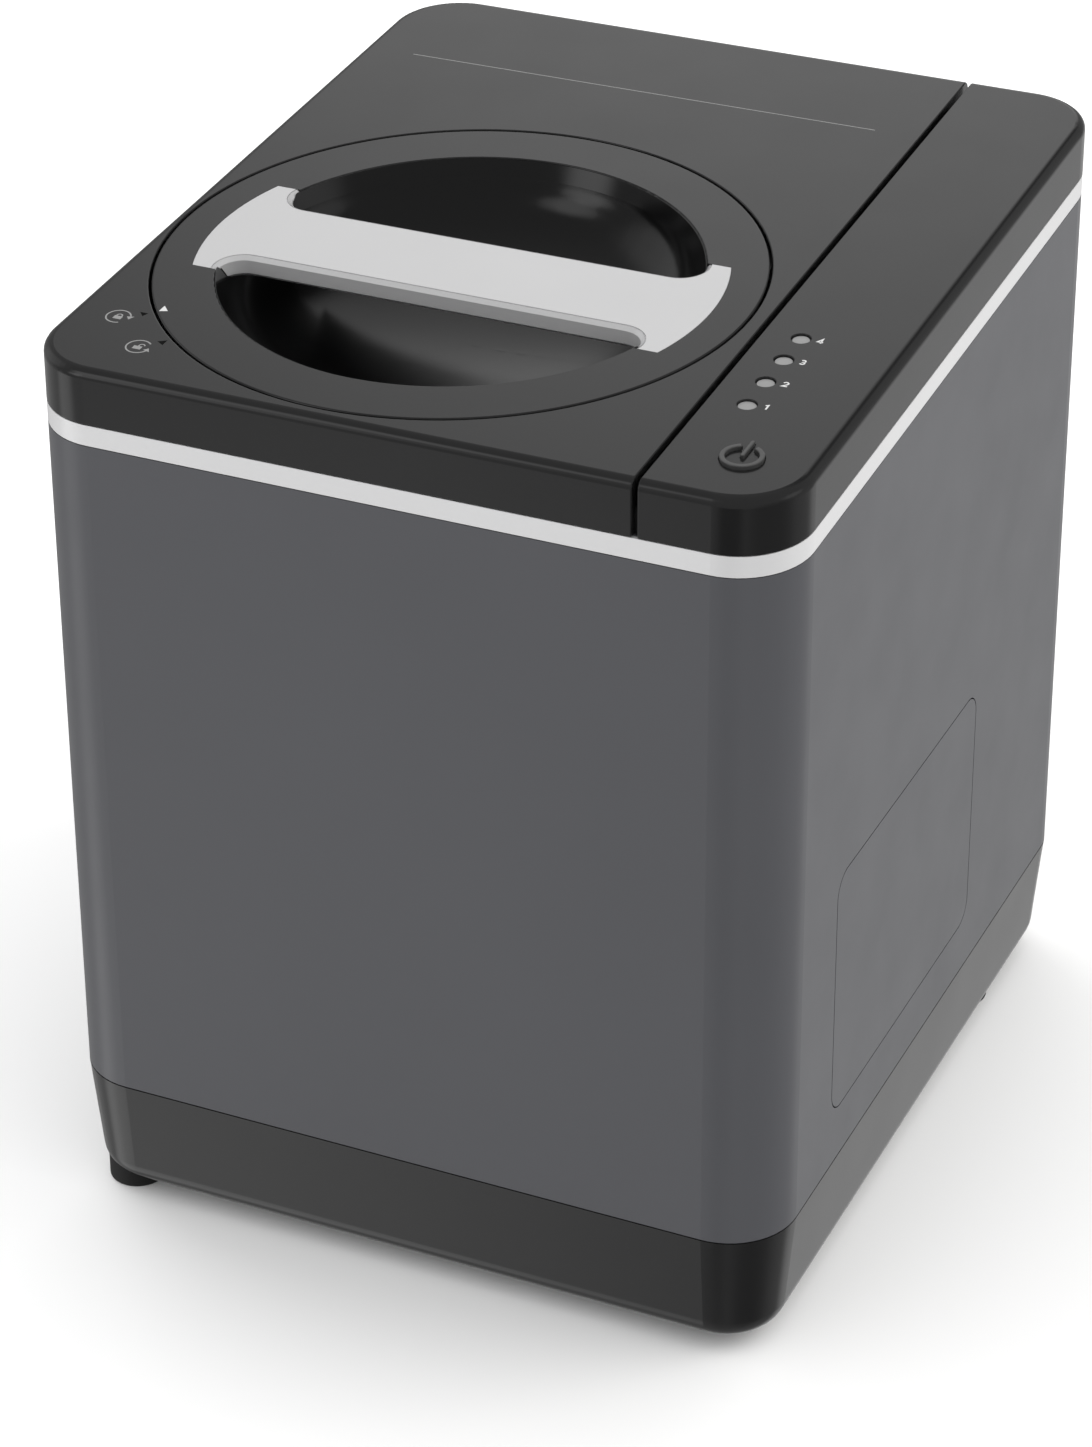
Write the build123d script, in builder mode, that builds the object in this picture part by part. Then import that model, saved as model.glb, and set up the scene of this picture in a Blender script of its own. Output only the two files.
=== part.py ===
from build123d import *
import os
from math import sin, cos, tan, atan, radians, degrees, pi, sqrt, acos

# Electric food waste composter. Millimetres, +X right, +Y back, +Z up,
# origin on the resting plane under the middle of the body.

# ---------------------------------------------------------------- dimensions
W, D = 280.0, 320.0          # body width and depth
R_PLAN = 25.8                # vertical corner radius
WALL = 2.8                   # moulded wall
SLOPE = 0.05976              # the top rises towards the back by this much
TILT = degrees(atan(SLOPE))
Z_TOP = 354.5                # height of the top face over the middle
TOP_R = 3.6                  # roll-over of the top edge
BAND_LOW = 326.2             # silver band, lower and upper edge over the middle
BAND_H = 7.66
GAP = 0.35                   # hairline between neighbouring covers

SEAM_Z = 52.9                # joint between the base tray and the shell
SEAM_GAP = 0.25              # half its width
BASE_Z = 5.5                 # underside of the base tray
BASE_TAPER = 5.3             # the tray's skirt narrows downwards
BASE_FILLET = 10.5
FOOT_R, FOOT_TOP = 10.8, 11.5
FEET = [(-122.2, -140.4), (111.0, -125.0), (120.5, 97.4), (-120.5, 97.4)]
SCREW_DX, SCREW_DY = 176.0, 260.0   # spacing of the base screws

LID_X, LID_Y = -27.3, -45.9  # lid centre, measured in the sloping top face
LID_R, LID_HOLE_R = 107.75, 108.7
BOWL_R = 85.8                # finger bowl
PLATE_R, PLATE_HALF = 94.3, 32.8
BAR_HALF, BAR_DEEP = 20.3, 8.0
GRIP_C = 1.5                 # bevel of the grip's edges
SPLIT_X, SPLIT_W = 87.7, 2.0 # gap between deck and control strip

AX, AY = -27.3, -44.4        # axis of well, bucket and output shaft
WELL_RI, WELL_T = 95.0, 1.5
BUCKET_R, BUCKET_T = 82.0, 1.6
BUCKET_Z0, BUCKET_Z1 = 132.5, 300.0
BAIL_R, BAIL_WIRE, BAIL_Z = 85.0, 2.5, 303.5

T_OUT, M_OUT = 56, 1.5       # output gear
T_PIN = 14                   # both pinions
T_IDLE, M_IDLE = 56, 1.0     # idler's large gear
C_OUT = M_OUT * (T_OUT + T_PIN) / 2
C_MOT = M_IDLE * (T_IDLE + T_PIN) / 2
IY = AY + C_OUT              # idler axis
MY = IY + C_MOT              # motor axis

COVER_Y0, COVER_Y1, COVER_Z0, COVER_Z1, COVER_R = -101.4, 41.5, 74.8, 173.8, 9.0
FILTER_R, FILTER_X0, FILTER_X1 = 30.0, 82.0, 130.0
COVER_CY, COVER_CZ = (COVER_Y0 + COVER_Y1) / 2, (COVER_Z0 + COVER_Z1) / 2
FILTER_DY = 34.5
FAN_X, FAN_Z = 70.0, 150.0
BTN_X, BTN_Y = 114.15, -134.05
LENS_X, LENS_YS = 102.45, (-52.15, -68.05, -84.3, -100.7)
BOARD_X, BOARD_Y = 90.0, -22.0

ct, st = cos(radians(TILT)), sin(radians(TILT))

# The sloping planes. Local x is the row's X, local y runs up the slope.
TOP = Plane(origin=(0, 0, Z_TOP), x_dir=(1, 0, 0), z_dir=(0, -st, ct))
LID = Plane(origin=(LID_X, LID_Y * ct, Z_TOP + LID_Y * st), x_dir=(1, 0, 0), z_dir=(0, -st, ct))


def slope_plane(z_mid):
    return Plane(origin=(0, 0, z_mid), x_dir=(1, 0, 0), z_dir=(0, -st, ct))


def axis_plane(z):
    return Plane.XY.offset(z)


def gear_points(module, teeth, centre, phase_deg, backlash=0.10):
    """Outline of an involute spur gear with a tooth centred on phase_deg."""
    pr = module * teeth / 2
    br = pr * cos(radians(20))
    tip = pr + 0.92 * module
    root = pr - 1.2 * module
    half = pi / (2 * teeth) - backlash / (2 * pr)
    inv = tan(radians(20)) - radians(20)
    pts = []
    for k in range(teeth):
        mid = radians(phase_deg) + 2 * pi * k / teeth
        flank = []
        start = max(root, br)
        for i in range(4):
            r = start + (tip - start) * i / 3
            a = acos(min(1.0, br / r))
            flank.append((r, half + inv - (tan(a) - a)))
        if root < br:
            flank.insert(0, (root, flank[0][1]))
        left = [(r, mid - g) for r, g in flank]
        right = [(r, mid + g) for r, g in reversed(flank)]
        pts += [(centre[0] + r * cos(a), centre[1] + r * sin(a)) for r, a in left + right]
    return pts


os.makedirs("parts", exist_ok=True)

# ================================================================== housing
# ---------------------------------------------------------------- base tray
with BuildPart() as base_tray:
    with BuildSketch(axis_plane(SEAM_Z - SEAM_GAP)):
        RectangleRounded(W, D, R_PLAN)
    extrude(amount=-(SEAM_Z - SEAM_GAP - BASE_Z), taper=BASE_TAPER)
    fillet(base_tray.faces().sort_by(Axis.Z)[0].edges(), radius=BASE_FILLET)
    # Underside is let up a little between the feet on both sides.
    with Locations((W / 2 - 12, -6, BASE_Z), (-W / 2 + 12, -6, BASE_Z)):
        Box(36, 188, 2.4, mode=Mode.SUBTRACT)
# The hollow of the tray, as a tool of its own: tapered like the outside.
with BuildPart() as tray_hollow:
    with BuildSketch(axis_plane(SEAM_Z + 1)):
        RectangleRounded(W - 2 * WALL, D - 2 * WALL, R_PLAN - WALL)
    extrude(amount=-(SEAM_Z + 1 - BASE_Z - 2.6), taper=BASE_TAPER)
    fillet(tray_hollow.faces().sort_by(Axis.Z)[0].edges(), radius=BASE_FILLET - 2.0)
    # Thick pads stay over the feet.
    with BuildSketch(axis_plane(BASE_Z)):
        with Locations(*FEET):
            Circle(FOOT_R + 2.5)
    extrude(amount=FOOT_TOP + 2.5 - BASE_Z, mode=Mode.SUBTRACT)
with BuildPart() as base_pan:
    add(base_tray.part)
    add(tray_hollow.part, mode=Mode.SUBTRACT)
    # Sockets that the feet are pressed into.
    with BuildSketch(axis_plane(BASE_Z - 5)):
        with Locations(*FEET):
            Circle(FOOT_R + 0.02)
    extrude(amount=FOOT_TOP + 5 - BASE_Z, mode=Mode.SUBTRACT)
    # Tongue that the shell slides over.
    with BuildSketch(axis_plane(SEAM_Z - 6)):
        RectangleRounded(W - 2 * WALL - 0.4, D - 2 * WALL - 0.4, R_PLAN - WALL)
        RectangleRounded(W - 2 * WALL - 4.4, D - 2 * WALL - 4.4, R_PLAN - WALL - 2, mode=Mode.SUBTRACT)
    extrude(amount=10.5)
    # Posts for the base screws and for the power board.
    with BuildSketch(axis_plane(BASE_Z + 1)):
        with GridLocations(SCREW_DX, SCREW_DY, 2, 2):
            Circle(5.5)
    extrude(amount=23)
    with BuildSketch(axis_plane(BASE_Z + 1)):
        with Locations((BOARD_X, BOARD_Y)):
            with GridLocations(62, 112, 2, 2):
                Circle(3)
    extrude(amount=17.5)
    with BuildSketch(axis_plane(BASE_Z - 1)):
        with GridLocations(SCREW_DX, SCREW_DY, 2, 2):
            Circle(3.6)
    extrude(amount=6.5, mode=Mode.SUBTRACT)
    with BuildSketch(axis_plane(BASE_Z - 1)):
        with GridLocations(SCREW_DX, SCREW_DY, 2, 2):
            Circle(1.7)
    extrude(amount=40, mode=Mode.SUBTRACT)
    # Cooling slots in the floor.
    with BuildSketch(axis_plane(BASE_Z - 1)):
        with Locations((-20, 112), (-20, -128)):
            with GridLocations(9, 0, 9, 1):
                SlotOverall(26, 4, rotation=90)
    extrude(amount=5, mode=Mode.SUBTRACT)
base_pan.part.label = "base_tray"
export_step(base_pan.part, "parts/base_tray.step")

with BuildPart() as rubber_feet:
    with BuildSketch(axis_plane(0)):
        with Locations(*FEET):
            Circle(FOOT_R)
    extrude(amount=FOOT_TOP)
    fillet(rubber_feet.faces().sort_by(Axis.Z)[:4].edges(), radius=1.0)
rubber_feet.part.label = "rubber_feet"
export_step(rubber_feet.part, "parts/rubber_feet.step")

# -------------------------------------------------------------- outer shell
REAR_X, REAR_Z0, REAR_Z1 = 112.0, 66.0, 296.0     # opening in the back wall
with BuildPart() as outer_shell:
    with BuildSketch(axis_plane(SEAM_Z + SEAM_GAP)):
        RectangleRounded(W, D, R_PLAN)
    extrude(amount=300)
    split(bisect_by=slope_plane(BAND_LOW - GAP), keep=Keep.BOTTOM)
    # Thin tongue behind the silver band.
    with BuildSketch(axis_plane(280)):
        RectangleRounded(W - 3.4, D - 3.4, R_PLAN - 1.7)
    extrude(amount=90)
    split(bisect_by=slope_plane(BAND_LOW + BAND_H), keep=Keep.BOTTOM)
    with BuildSketch(axis_plane(SEAM_Z - 1)):
        RectangleRounded(W - 2 * WALL, D - 2 * WALL, R_PLAN - WALL)
    extrude(amount=320, mode=Mode.SUBTRACT)
    # Corner ledges and hanging posts for the base screws.
    with BuildSketch(axis_plane(60)):
        with GridLocations(W - 56, D - 44, 2, 2):
            Rectangle(62, 48)
        RectangleRounded(W - 2 * WALL + 1, D - 2 * WALL + 1, R_PLAN - WALL + 0.5, mode=Mode.INTERSECT)
    extrude(amount=3.5)
    with BuildSketch(axis_plane(30.0)):
        with GridLocations(SCREW_DX, SCREW_DY, 2, 2):
            Circle(5)
    extrude(amount=32)
    with BuildSketch(axis_plane(29)):
        with GridLocations(SCREW_DX, SCREW_DY, 2, 2):
            Circle(1.5)
    extrude(amount=22, mode=Mode.SUBTRACT)
    # Opening for the filter cover in the right wall.
    with BuildSketch(Plane.YZ.offset(W / 2 - 8)):
        with Locations((COVER_CY, COVER_CZ)):
            RectangleRounded(COVER_Y1 - COVER_Y0 + 1.0, COVER_Z1 - COVER_Z0 + 1.0, COVER_R + 0.5)
    extrude(amount=16, mode=Mode.SUBTRACT)
    # Opening for the rear panel.
    with BuildSketch(Plane.XZ.offset(-D / 2 + 8)):
        with Locations((0, (REAR_Z0 + REAR_Z1) / 2)):
            RectangleRounded(2 * REAR_X + 0.8, REAR_Z1 - REAR_Z0 + 0.8, 6.4)
    extrude(amount=-16, mode=Mode.SUBTRACT)
outer_shell.part.label = "outer_shell"
export_step(outer_shell.part, "parts/outer_shell.step")

# --------------------------------------------------------------- rear panel
SOCK_X, SOCK_Z = -70.0, 92.0
with BuildPart() as rear_panel:
    with BuildSketch(Plane.XZ.offset(-D / 2)):
        with Locations((0, (REAR_Z0 + REAR_Z1) / 2)):
            RectangleRounded(2 * REAR_X, REAR_Z1 - REAR_Z0, 6)
    extrude(amount=3.0)
    with BuildSketch(Plane.XZ.offset(-D / 2 + 3.0)):
        with Locations((0, (REAR_Z0 + REAR_Z1) / 2)):
            RectangleRounded(2 * REAR_X + 3.2, REAR_Z1 - REAR_Z0 + 4.4, 6)
    extrude(amount=1.6)
    # Opening for the exhaust grille, with a ledge.
    with BuildSketch(Plane.XZ.offset(-D / 2 - 1)):
        with Locations((FAN_X, FAN_Z)):
            RectangleRounded(78, 78, 5)
    extrude(amount=3.4, mode=Mode.SUBTRACT)
    with BuildSketch(Plane.XZ.offset(-D / 2 - 1)):
        with Locations((FAN_X, FAN_Z)):
            RectangleRounded(72, 72, 4)
    extrude(amount=12, mode=Mode.SUBTRACT)
    # Opening for the inlet socket.
    with BuildSketch(Plane.XZ.offset(-D / 2 - 1)):
        with Locations((SOCK_X, SOCK_Z)):
            Rectangle(28.4, 20.4)
    extrude(amount=12, mode=Mode.SUBTRACT)
    # Recess for the socket's flange.
    with BuildSketch(Plane.XZ.offset(-D / 2 - 1)):
        with Locations((SOCK_X, SOCK_Z)):
            RectangleRounded(50.4, 24.4, 3.2)
    extrude(amount=3.0, mode=Mode.SUBTRACT)
    # Row of cooling slots near the bottom left.
    with BuildSketch(Plane.XZ.offset(-D / 2 - 1)):
        with Locations((-40, 250)):
            with GridLocations(9, 0, 13, 1):
                SlotOverall(34, 4, rotation=90)
    extrude(amount=12, mode=Mode.SUBTRACT)
    # Countersunk screw holes.
    with BuildSketch(Plane.XZ.offset(-D / 2 - 1)):
        with Locations((0, (REAR_Z0 + REAR_Z1) / 2)):
            with GridLocations(206, 212, 2, 2):
                Circle(3.2)
    extrude(amount=3.0, mode=Mode.SUBTRACT)
    with BuildSketch(Plane.XZ.offset(-D / 2 - 1)):
        with Locations((0, (REAR_Z0 + REAR_Z1) / 2)):
            with GridLocations(206, 212, 2, 2):
                Circle(1.65)
    extrude(amount=12, mode=Mode.SUBTRACT)
rear_panel.part.label = "rear_panel"
export_step(rear_panel.part, "parts/rear_panel.step")

with BuildPart() as exhaust_grille:
    with BuildSketch(Plane.XZ.offset(-D / 2)):
        with Locations((FAN_X, FAN_Z)):
            RectangleRounded(77.6, 77.6, 4.8)
    extrude(amount=2.2)
    with BuildSketch(Plane.XZ.offset(-D / 2 - 1)):
        with Locations((FAN_X, FAN_Z)):
            with GridLocations(0, 7.2, 1, 9):
                SlotOverall(66, 4.4)
    extrude(amount=6, mode=Mode.SUBTRACT)
    with BuildSketch(Plane.XZ.offset(-D / 2)):
        with Locations((FAN_X, FAN_Z)):
            Rectangle(2.2, 70)
    extrude(amount=2.2)
exhaust_grille.part.label = "exhaust_grille"
export_step(exhaust_grille.part, "parts/exhaust_grille.step")

with BuildPart() as rear_screws:
    with BuildSketch(Plane.XZ.offset(-D / 2 + 0.4)):
        with Locations((0, (REAR_Z0 + REAR_Z1) / 2)):
            with GridLocations(206, 212, 2, 2):
                Circle(2.9)
    extrude(amount=1.6)
    with BuildSketch(Plane.XZ.offset(-D / 2 + 1.9)):
        with Locations((0, (REAR_Z0 + REAR_Z1) / 2)):
            with GridLocations(206, 212, 2, 2):
                Circle(1.5)
    extrude(amount=8)
    with BuildSketch(Plane.XZ.offset(-D / 2 + 0.4)):
        with Locations((0, (REAR_Z0 + REAR_Z1) / 2)):
            with GridLocations(206, 212, 2, 2):
                Rectangle(3.8, 0.8)
                Rectangle(0.8, 3.8)
    extrude(amount=1.0, mode=Mode.SUBTRACT)

# ---------------------------------------------------------- inlet socket
with BuildPart() as inlet_socket:
    # Flange, then the shrouded body with its six-sided mouth.
    with BuildSketch(Plane.XZ.offset(-D / 2 + 0.2)):
        with Locations((SOCK_X, SOCK_Z)):
            RectangleRounded(50, 24, 3)
    extrude(amount=1.8)
    with BuildSketch(Plane.XZ.offset(-D / 2 + 1.9)):
        with Locations((SOCK_X, SOCK_Z)):
            Rectangle(28, 20)
    extrude(amount=24)
    with BuildSketch(Plane.XZ.offset(-D / 2)):
        with BuildLine():
            Polyline((SOCK_X - 12.2, SOCK_Z - 8.2), (SOCK_X + 12.2, SOCK_Z - 8.2),
                     (SOCK_X + 12.2, SOCK_Z + 3.4), (SOCK_X + 7.6, SOCK_Z + 8.2),
                     (SOCK_X - 7.6, SOCK_Z + 8.2), (SOCK_X - 12.2, SOCK_Z + 3.4), close=True)
        make_face()
    extrude(amount=19, mode=Mode.SUBTRACT)
    # Three flat contact pins.
    with BuildSketch(Plane.XZ.offset(-D / 2 + 3.0)):
        with Locations((SOCK_X - 7, SOCK_Z - 2.0), (SOCK_X + 7, SOCK_Z - 2.0), (SOCK_X, SOCK_Z + 2.0)):
            Rectangle(2, 4)
    extrude(amount=17)
    # Solder tags behind.
    with BuildSketch(Plane.XZ.offset(-D / 2 + 25.5)):
        with Locations((SOCK_X - 7, SOCK_Z - 2.0), (SOCK_X + 7, SOCK_Z - 2.0), (SOCK_X, SOCK_Z + 2.0)):
            Rectangle(0.9, 4.8)
    extrude(amount=8)
inlet_socket.part.label = "inlet_socket"
export_step(inlet_socket.part, "parts/inlet_socket.step")

# ---------------------------------------------------------------- trim band
with BuildPart() as trim_band:
    with BuildSketch(axis_plane(290)):
        RectangleRounded(W, D, R_PLAN)
        RectangleRounded(W - 3.0, D - 3.0, R_PLAN - 1.5, mode=Mode.SUBTRACT)
    extrude(amount=80)
    split(bisect_by=slope_plane(BAND_LOW), keep=Keep.TOP)
    split(bisect_by=slope_plane(BAND_LOW + BAND_H), keep=Keep.BOTTOM)
trim_band.part.label = "trim_band"
export_step(trim_band.part, "parts/trim_band.step")

# ----------------------------------------------------------------- top deck
PLATE_T = 3.0
EDGE_R = 0.45                   # broken edges of the covers
SKIRT_LOW = BAND_LOW + BAND_H + GAP
XL = SPLIT_X - SPLIT_W / 2      # right edge of the deck
XR = SPLIT_X + SPLIT_W / 2      # left edge of the control strip
EAR_R, EAR_A = 111.0, (30, 150, 210, 330)
with BuildPart() as top_blank:
    with BuildSketch(axis_plane(300)):
        RectangleRounded(W, D, R_PLAN)
    extrude(amount=100)
    split(bisect_by=TOP, keep=Keep.BOTTOM)
    split(bisect_by=slope_plane(SKIRT_LOW), keep=Keep.TOP)
    fillet(top_blank.faces().sort_by(Axis.Z)[-1].edges(), radius=TOP_R)
with BuildPart() as top_hollow:
    with BuildSketch(axis_plane(290)):
        RectangleRounded(W - 2 * WALL, D - 2 * WALL, R_PLAN - WALL)
    extrude(amount=120)
    split(bisect_by=TOP.offset(-PLATE_T), keep=Keep.BOTTOM)
# Inner tongue that drops behind the shell's rim.
with BuildPart() as deck_tongue:
    with BuildSketch(axis_plane(300)):
        RectangleRounded(W - 2 * WALL - 0.6, D - 2 * WALL - 0.6, R_PLAN - WALL - 0.3)
        RectangleRounded(W - 2 * WALL - 4.6, D - 2 * WALL - 4.6, R_PLAN - WALL - 2.3, mode=Mode.SUBTRACT)
        with Locations((92.2 + 100, 0)):
            Rectangle(200, 400, mode=Mode.SUBTRACT)
    extrude(amount=80)
    split(bisect_by=slope_plane(SKIRT_LOW - 7), keep=Keep.TOP)
    split(bisect_by=TOP.offset(-1.5), keep=Keep.BOTTOM)
with BuildPart() as top_deck:
    add(top_blank.part)
    add(top_hollow.part, mode=Mode.SUBTRACT)
    # Collar of the lid hole, and bosses for the lock ring's screws.
    with BuildSketch(LID.offset(-12)):
        Circle(LID_HOLE_R + 2.8)
        with Locations(*[(EAR_R * cos(radians(a)), EAR_R * sin(radians(a))) for a in EAR_A]):
            Circle(5)
    extrude(amount=10.5)
    # Wall along the split, the ledge that closes it, and the end strips.
    with BuildSketch(TOP.offset(-13.5)):
        with Locations(((XL - 1.6), 0)):
            Rectangle(3.2, D - 2 * WALL + 1)
    extrude(amount=12)
    with BuildSketch(TOP.offset(-13.5)):
        with Locations(((XL - 3.2 + 92.2) / 2, 0)):
            Rectangle(92.2 - XL + 3.2, D - 2 * WALL + 1)
    extrude(amount=2.0)
    add(deck_tongue.part)
with BuildPart() as deck_done:
    add(top_deck.part)
    # Cut away everything right of the split, except ledge and end strips.
    with BuildSketch(TOP.offset(-11.5)):
        with Locations((XL + 100, 0)):
            Rectangle(200, 400)
    extrude(amount=20, mode=Mode.SUBTRACT)
    with BuildSketch(axis_plane(250)):
        with Locations((XL + 100, 0)):
            Rectangle(200, 400)
        with Locations(((XL + 92.2) / 2, 0)):
            Rectangle(92.2 - XL, D - 2 * WALL - 0.5, mode=Mode.SUBTRACT)
    extrude(amount=150, mode=Mode.SUBTRACT)
    # The lid hole.
    with BuildSketch(LID.offset(-12.5)):
        Circle(LID_HOLE_R)
    extrude(amount=30, mode=Mode.SUBTRACT)
    # Pilot holes for the lock ring's screws.
    with BuildSketch(LID.offset(-12.5)):
        with Locations(*[(EAR_R * cos(radians(a)), EAR_R * sin(radians(a))) for a in EAR_A]):
            Circle(1.3)
    extrude(amount=7.5, mode=Mode.SUBTRACT)
    # Edges of the lid hole and along the split are broken.
    hole_edge = deck_done.edges().filter_by(GeomType.CIRCLE).filter_by(
        lambda e: abs(e.radius - LID_HOLE_R) < 0.01 and LID.to_local_coords(e.center()).Z > -1.0)
    fillet(hole_edge, radius=EDGE_R)
    split_edge = deck_done.edges().filter_by(
        lambda e: abs(e.bounding_box().min.X - XL) < 0.01 and abs(e.bounding_box().max.X - XL) < 0.01
        and (TOP.to_local_coords(e.center()).Z > -4.0 or abs(e.center().Y) > D / 2 - 0.05))
    fillet(split_edge, radius=EDGE_R)
deck_done.part.label = "top_deck"
export_step(deck_done.part, "parts/top_deck.step")

# ------------------------------------------------------------ control cover
RING_O, RING_I, BAR_W = 7.5, 5.6, 1.5
LENS_HOLE = 3.4
with BuildPart() as cover_tongue:
    with BuildSketch(axis_plane(300)):
        RectangleRounded(W - 2 * WALL - 0.6, D - 2 * WALL - 0.6, R_PLAN - WALL - 0.3)
        RectangleRounded(W - 2 * WALL - 4.6, D - 2 * WALL - 4.6, R_PLAN - WALL - 2.3, mode=Mode.SUBTRACT)
        with Locations((92.6 - 100, 0)):
            Rectangle(200, 400, mode=Mode.SUBTRACT)
    extrude(amount=80)
    split(bisect_by=slope_plane(SKIRT_LOW - 7), keep=Keep.TOP)
    split(bisect_by=TOP.offset(-1.5), keep=Keep.BOTTOM)
with BuildPart() as control_cover:
    add(top_blank.part)
    add(top_hollow.part, mode=Mode.SUBTRACT)
    # Wall along the split.
    with BuildSketch(TOP.offset(-11.0)):
        with Locations((XR + 1.25, 0)):
            Rectangle(2.5, D - 2 * WALL + 1)
    extrude(amount=9.5)
    add(cover_tongue.part)
    split(bisect_by=Plane.YZ.offset(XR), keep=Keep.TOP)
    # Bosses for the control board, and the guide of the power button.
    with BuildSketch(TOP.offset(-14.4)):
        with Locations((112.5, -91)):
            with GridLocations(31, 98, 2, 2):
                Circle(2.5)
    extrude(amount=12)
    with BuildSketch(TOP.offset(-8)):
        with Locations((BTN_X, BTN_Y)):
            Circle(12.0)
            Circle(10.6, mode=Mode.SUBTRACT)
    extrude(amount=6)
    # Lens holes.
    with BuildSketch(TOP.offset(-6)):
        with Locations(*[(LENS_X, y) for y in LENS_YS]):
            Circle(LENS_HOLE)
    extrude(amount=10, mode=Mode.SUBTRACT)
    lens_rims = control_cover.edges().filter_by(GeomType.CIRCLE).filter_by(
        lambda e: abs(e.radius - LENS_HOLE) < 0.01 and abs(TOP.to_local_coords(e.center()).Z) < 0.05)
    fillet(lens_rims, radius=0.3)
    # Cut-out that the raised power symbol moves in: an open ring and a bar.
    with BuildSketch(TOP.offset(-6)):
        with Locations((BTN_X, BTN_Y)):
            Circle(RING_O + 0.25)
            Circle(RING_I - 0.25, mode=Mode.SUBTRACT)
        with BuildLine():
            Polyline((BTN_X, BTN_Y), (BTN_X + 14 * sin(radians(20)), BTN_Y + 14 * cos(radians(20))),
                     (BTN_X - 14 * sin(radians(20)), BTN_Y + 14 * cos(radians(20))), close=True)
        make_face(mode=Mode.SUBTRACT)
        with Locations((BTN_X, BTN_Y + 4.85)):
            RectangleRounded(BAR_W + 0.5, 10.9, 0.95)
    extrude(amount=10, mode=Mode.SUBTRACT)
    # The edge along the split is broken.
    cover_edge = control_cover.edges().filter_by(
        lambda e: abs(e.bounding_box().min.X - XR) < 0.01 and abs(e.bounding_box().max.X - XR) < 0.01
        and (TOP.to_local_coords(e.center()).Z > -4.0 or abs(e.center().Y) > D / 2 - 0.05))
    fillet(cover_edge, radius=EDGE_R)
control_cover.part.label = "control_cover"
export_step(control_cover.part, "parts/control_cover.step")

with BuildPart() as power_button:
    with BuildSketch(TOP.offset(-5.0)):
        with Locations((BTN_X, BTN_Y)):
            Circle(10.3)
    extrude(amount=1.7)
    with BuildSketch(TOP.offset(-3.5)):
        with Locations((BTN_X, BTN_Y)):
            Circle(RING_O)
            Circle(RING_I, mode=Mode.SUBTRACT)
        with BuildLine():
            Polyline((BTN_X, BTN_Y), (BTN_X + 14 * sin(radians(23)), BTN_Y + 14 * cos(radians(23))),
                     (BTN_X - 14 * sin(radians(23)), BTN_Y + 14 * cos(radians(23))), close=True)
        make_face(mode=Mode.SUBTRACT)
        with Locations((BTN_X, BTN_Y + 4.85)):
            RectangleRounded(BAR_W, 10.4, 0.7)
    extrude(amount=4.8)
    raised = power_button.faces().filter_by(
        lambda f: abs(TOP.to_local_coords(f.center()).Z - 1.3) < 0.01)
    fillet(raised.edges(), radius=0.35)
    with BuildSketch(TOP.offset(-11.3)):
        with Locations((BTN_X, BTN_Y)):
            Circle(2.2)
    extrude(amount=6.5)
power_button.part.label = "power_button"
export_step(power_button.part, "parts/power_button.step")

with BuildPart() as status_lenses:
    with BuildSketch(TOP.offset(-4.4)):
        with Locations(*[(LENS_X, y) for y in LENS_YS]):
            Circle(LENS_HOLE - 0.25)
    extrude(amount=3.7)
    fillet(status_lenses.faces().sort_by(Axis.Z)[-4:].edges(), radius=0.25)
    with BuildSketch(TOP.offset(-4.4)):
        with Locations(*[(LENS_X, y) for y in LENS_YS]):
            Circle(5.0)
    extrude(amount=1.3)
status_lenses.part.label = "status_lenses"
export_step(status_lenses.part, "parts/status_lenses.step")

with BuildPart() as control_board:
    with BuildSketch(TOP.offset(-16)):
        with Locations((112.5, -91)):
            RectangleRounded(37, 106, 2)
            with GridLocations(31, 98, 2, 2):
                Circle(1.2, mode=Mode.SUBTRACT)
    extrude(amount=1.6)
    # Push switch under the button, and the driver chip.
    with BuildSketch(TOP.offset(-14.5)):
        with Locations((BTN_X, BTN_Y)):
            Rectangle(6, 6)
        with Locations((122, -84)):
            Rectangle(9, 9)
    extrude(amount=1.5)
control_board.part.label = "control_board"
export_step(control_board.part, "parts/control_board.step")

with BuildPart() as status_leds:
    with BuildSketch(TOP.offset(-14.4)):
        with Locations(*[(LENS_X, y) for y in LENS_YS]):
            Circle(2.9)
    extrude(amount=1.2)
    with BuildSketch(TOP.offset(-13.3)):
        with Locations(*[(LENS_X, y) for y in LENS_YS]):
            Circle(2.5)
    extrude(amount=7.5)
    fillet(status_leds.faces().sort_by(Axis.Z)[-4:].edges(), radius=2.0)
status_leds.part.label = "status_leds"
export_step(status_leds.part, "parts/status_leds.step")

# ----------------------------------------------------- lock ring and switch
LUG_A = (45, 135, 225, 315)      # middle of each lid lug, locked
LUG_SPAN, TWIST = 12.0, 12.0
SKIRT_RO, SKIRT_RI = 105.4, 102.2   # lid's skirt and lugs


def sector(radius, a0, a1):
    """Corner points of a wedge from the centre, used to cut ring segments."""
    n = 6
    pts = [(0, 0)]
    for i in range(n + 1):
        a = radians(a0 + (a1 - a0) * i / n)
        pts.append((radius * cos(a), radius * sin(a)))
    return pts


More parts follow.
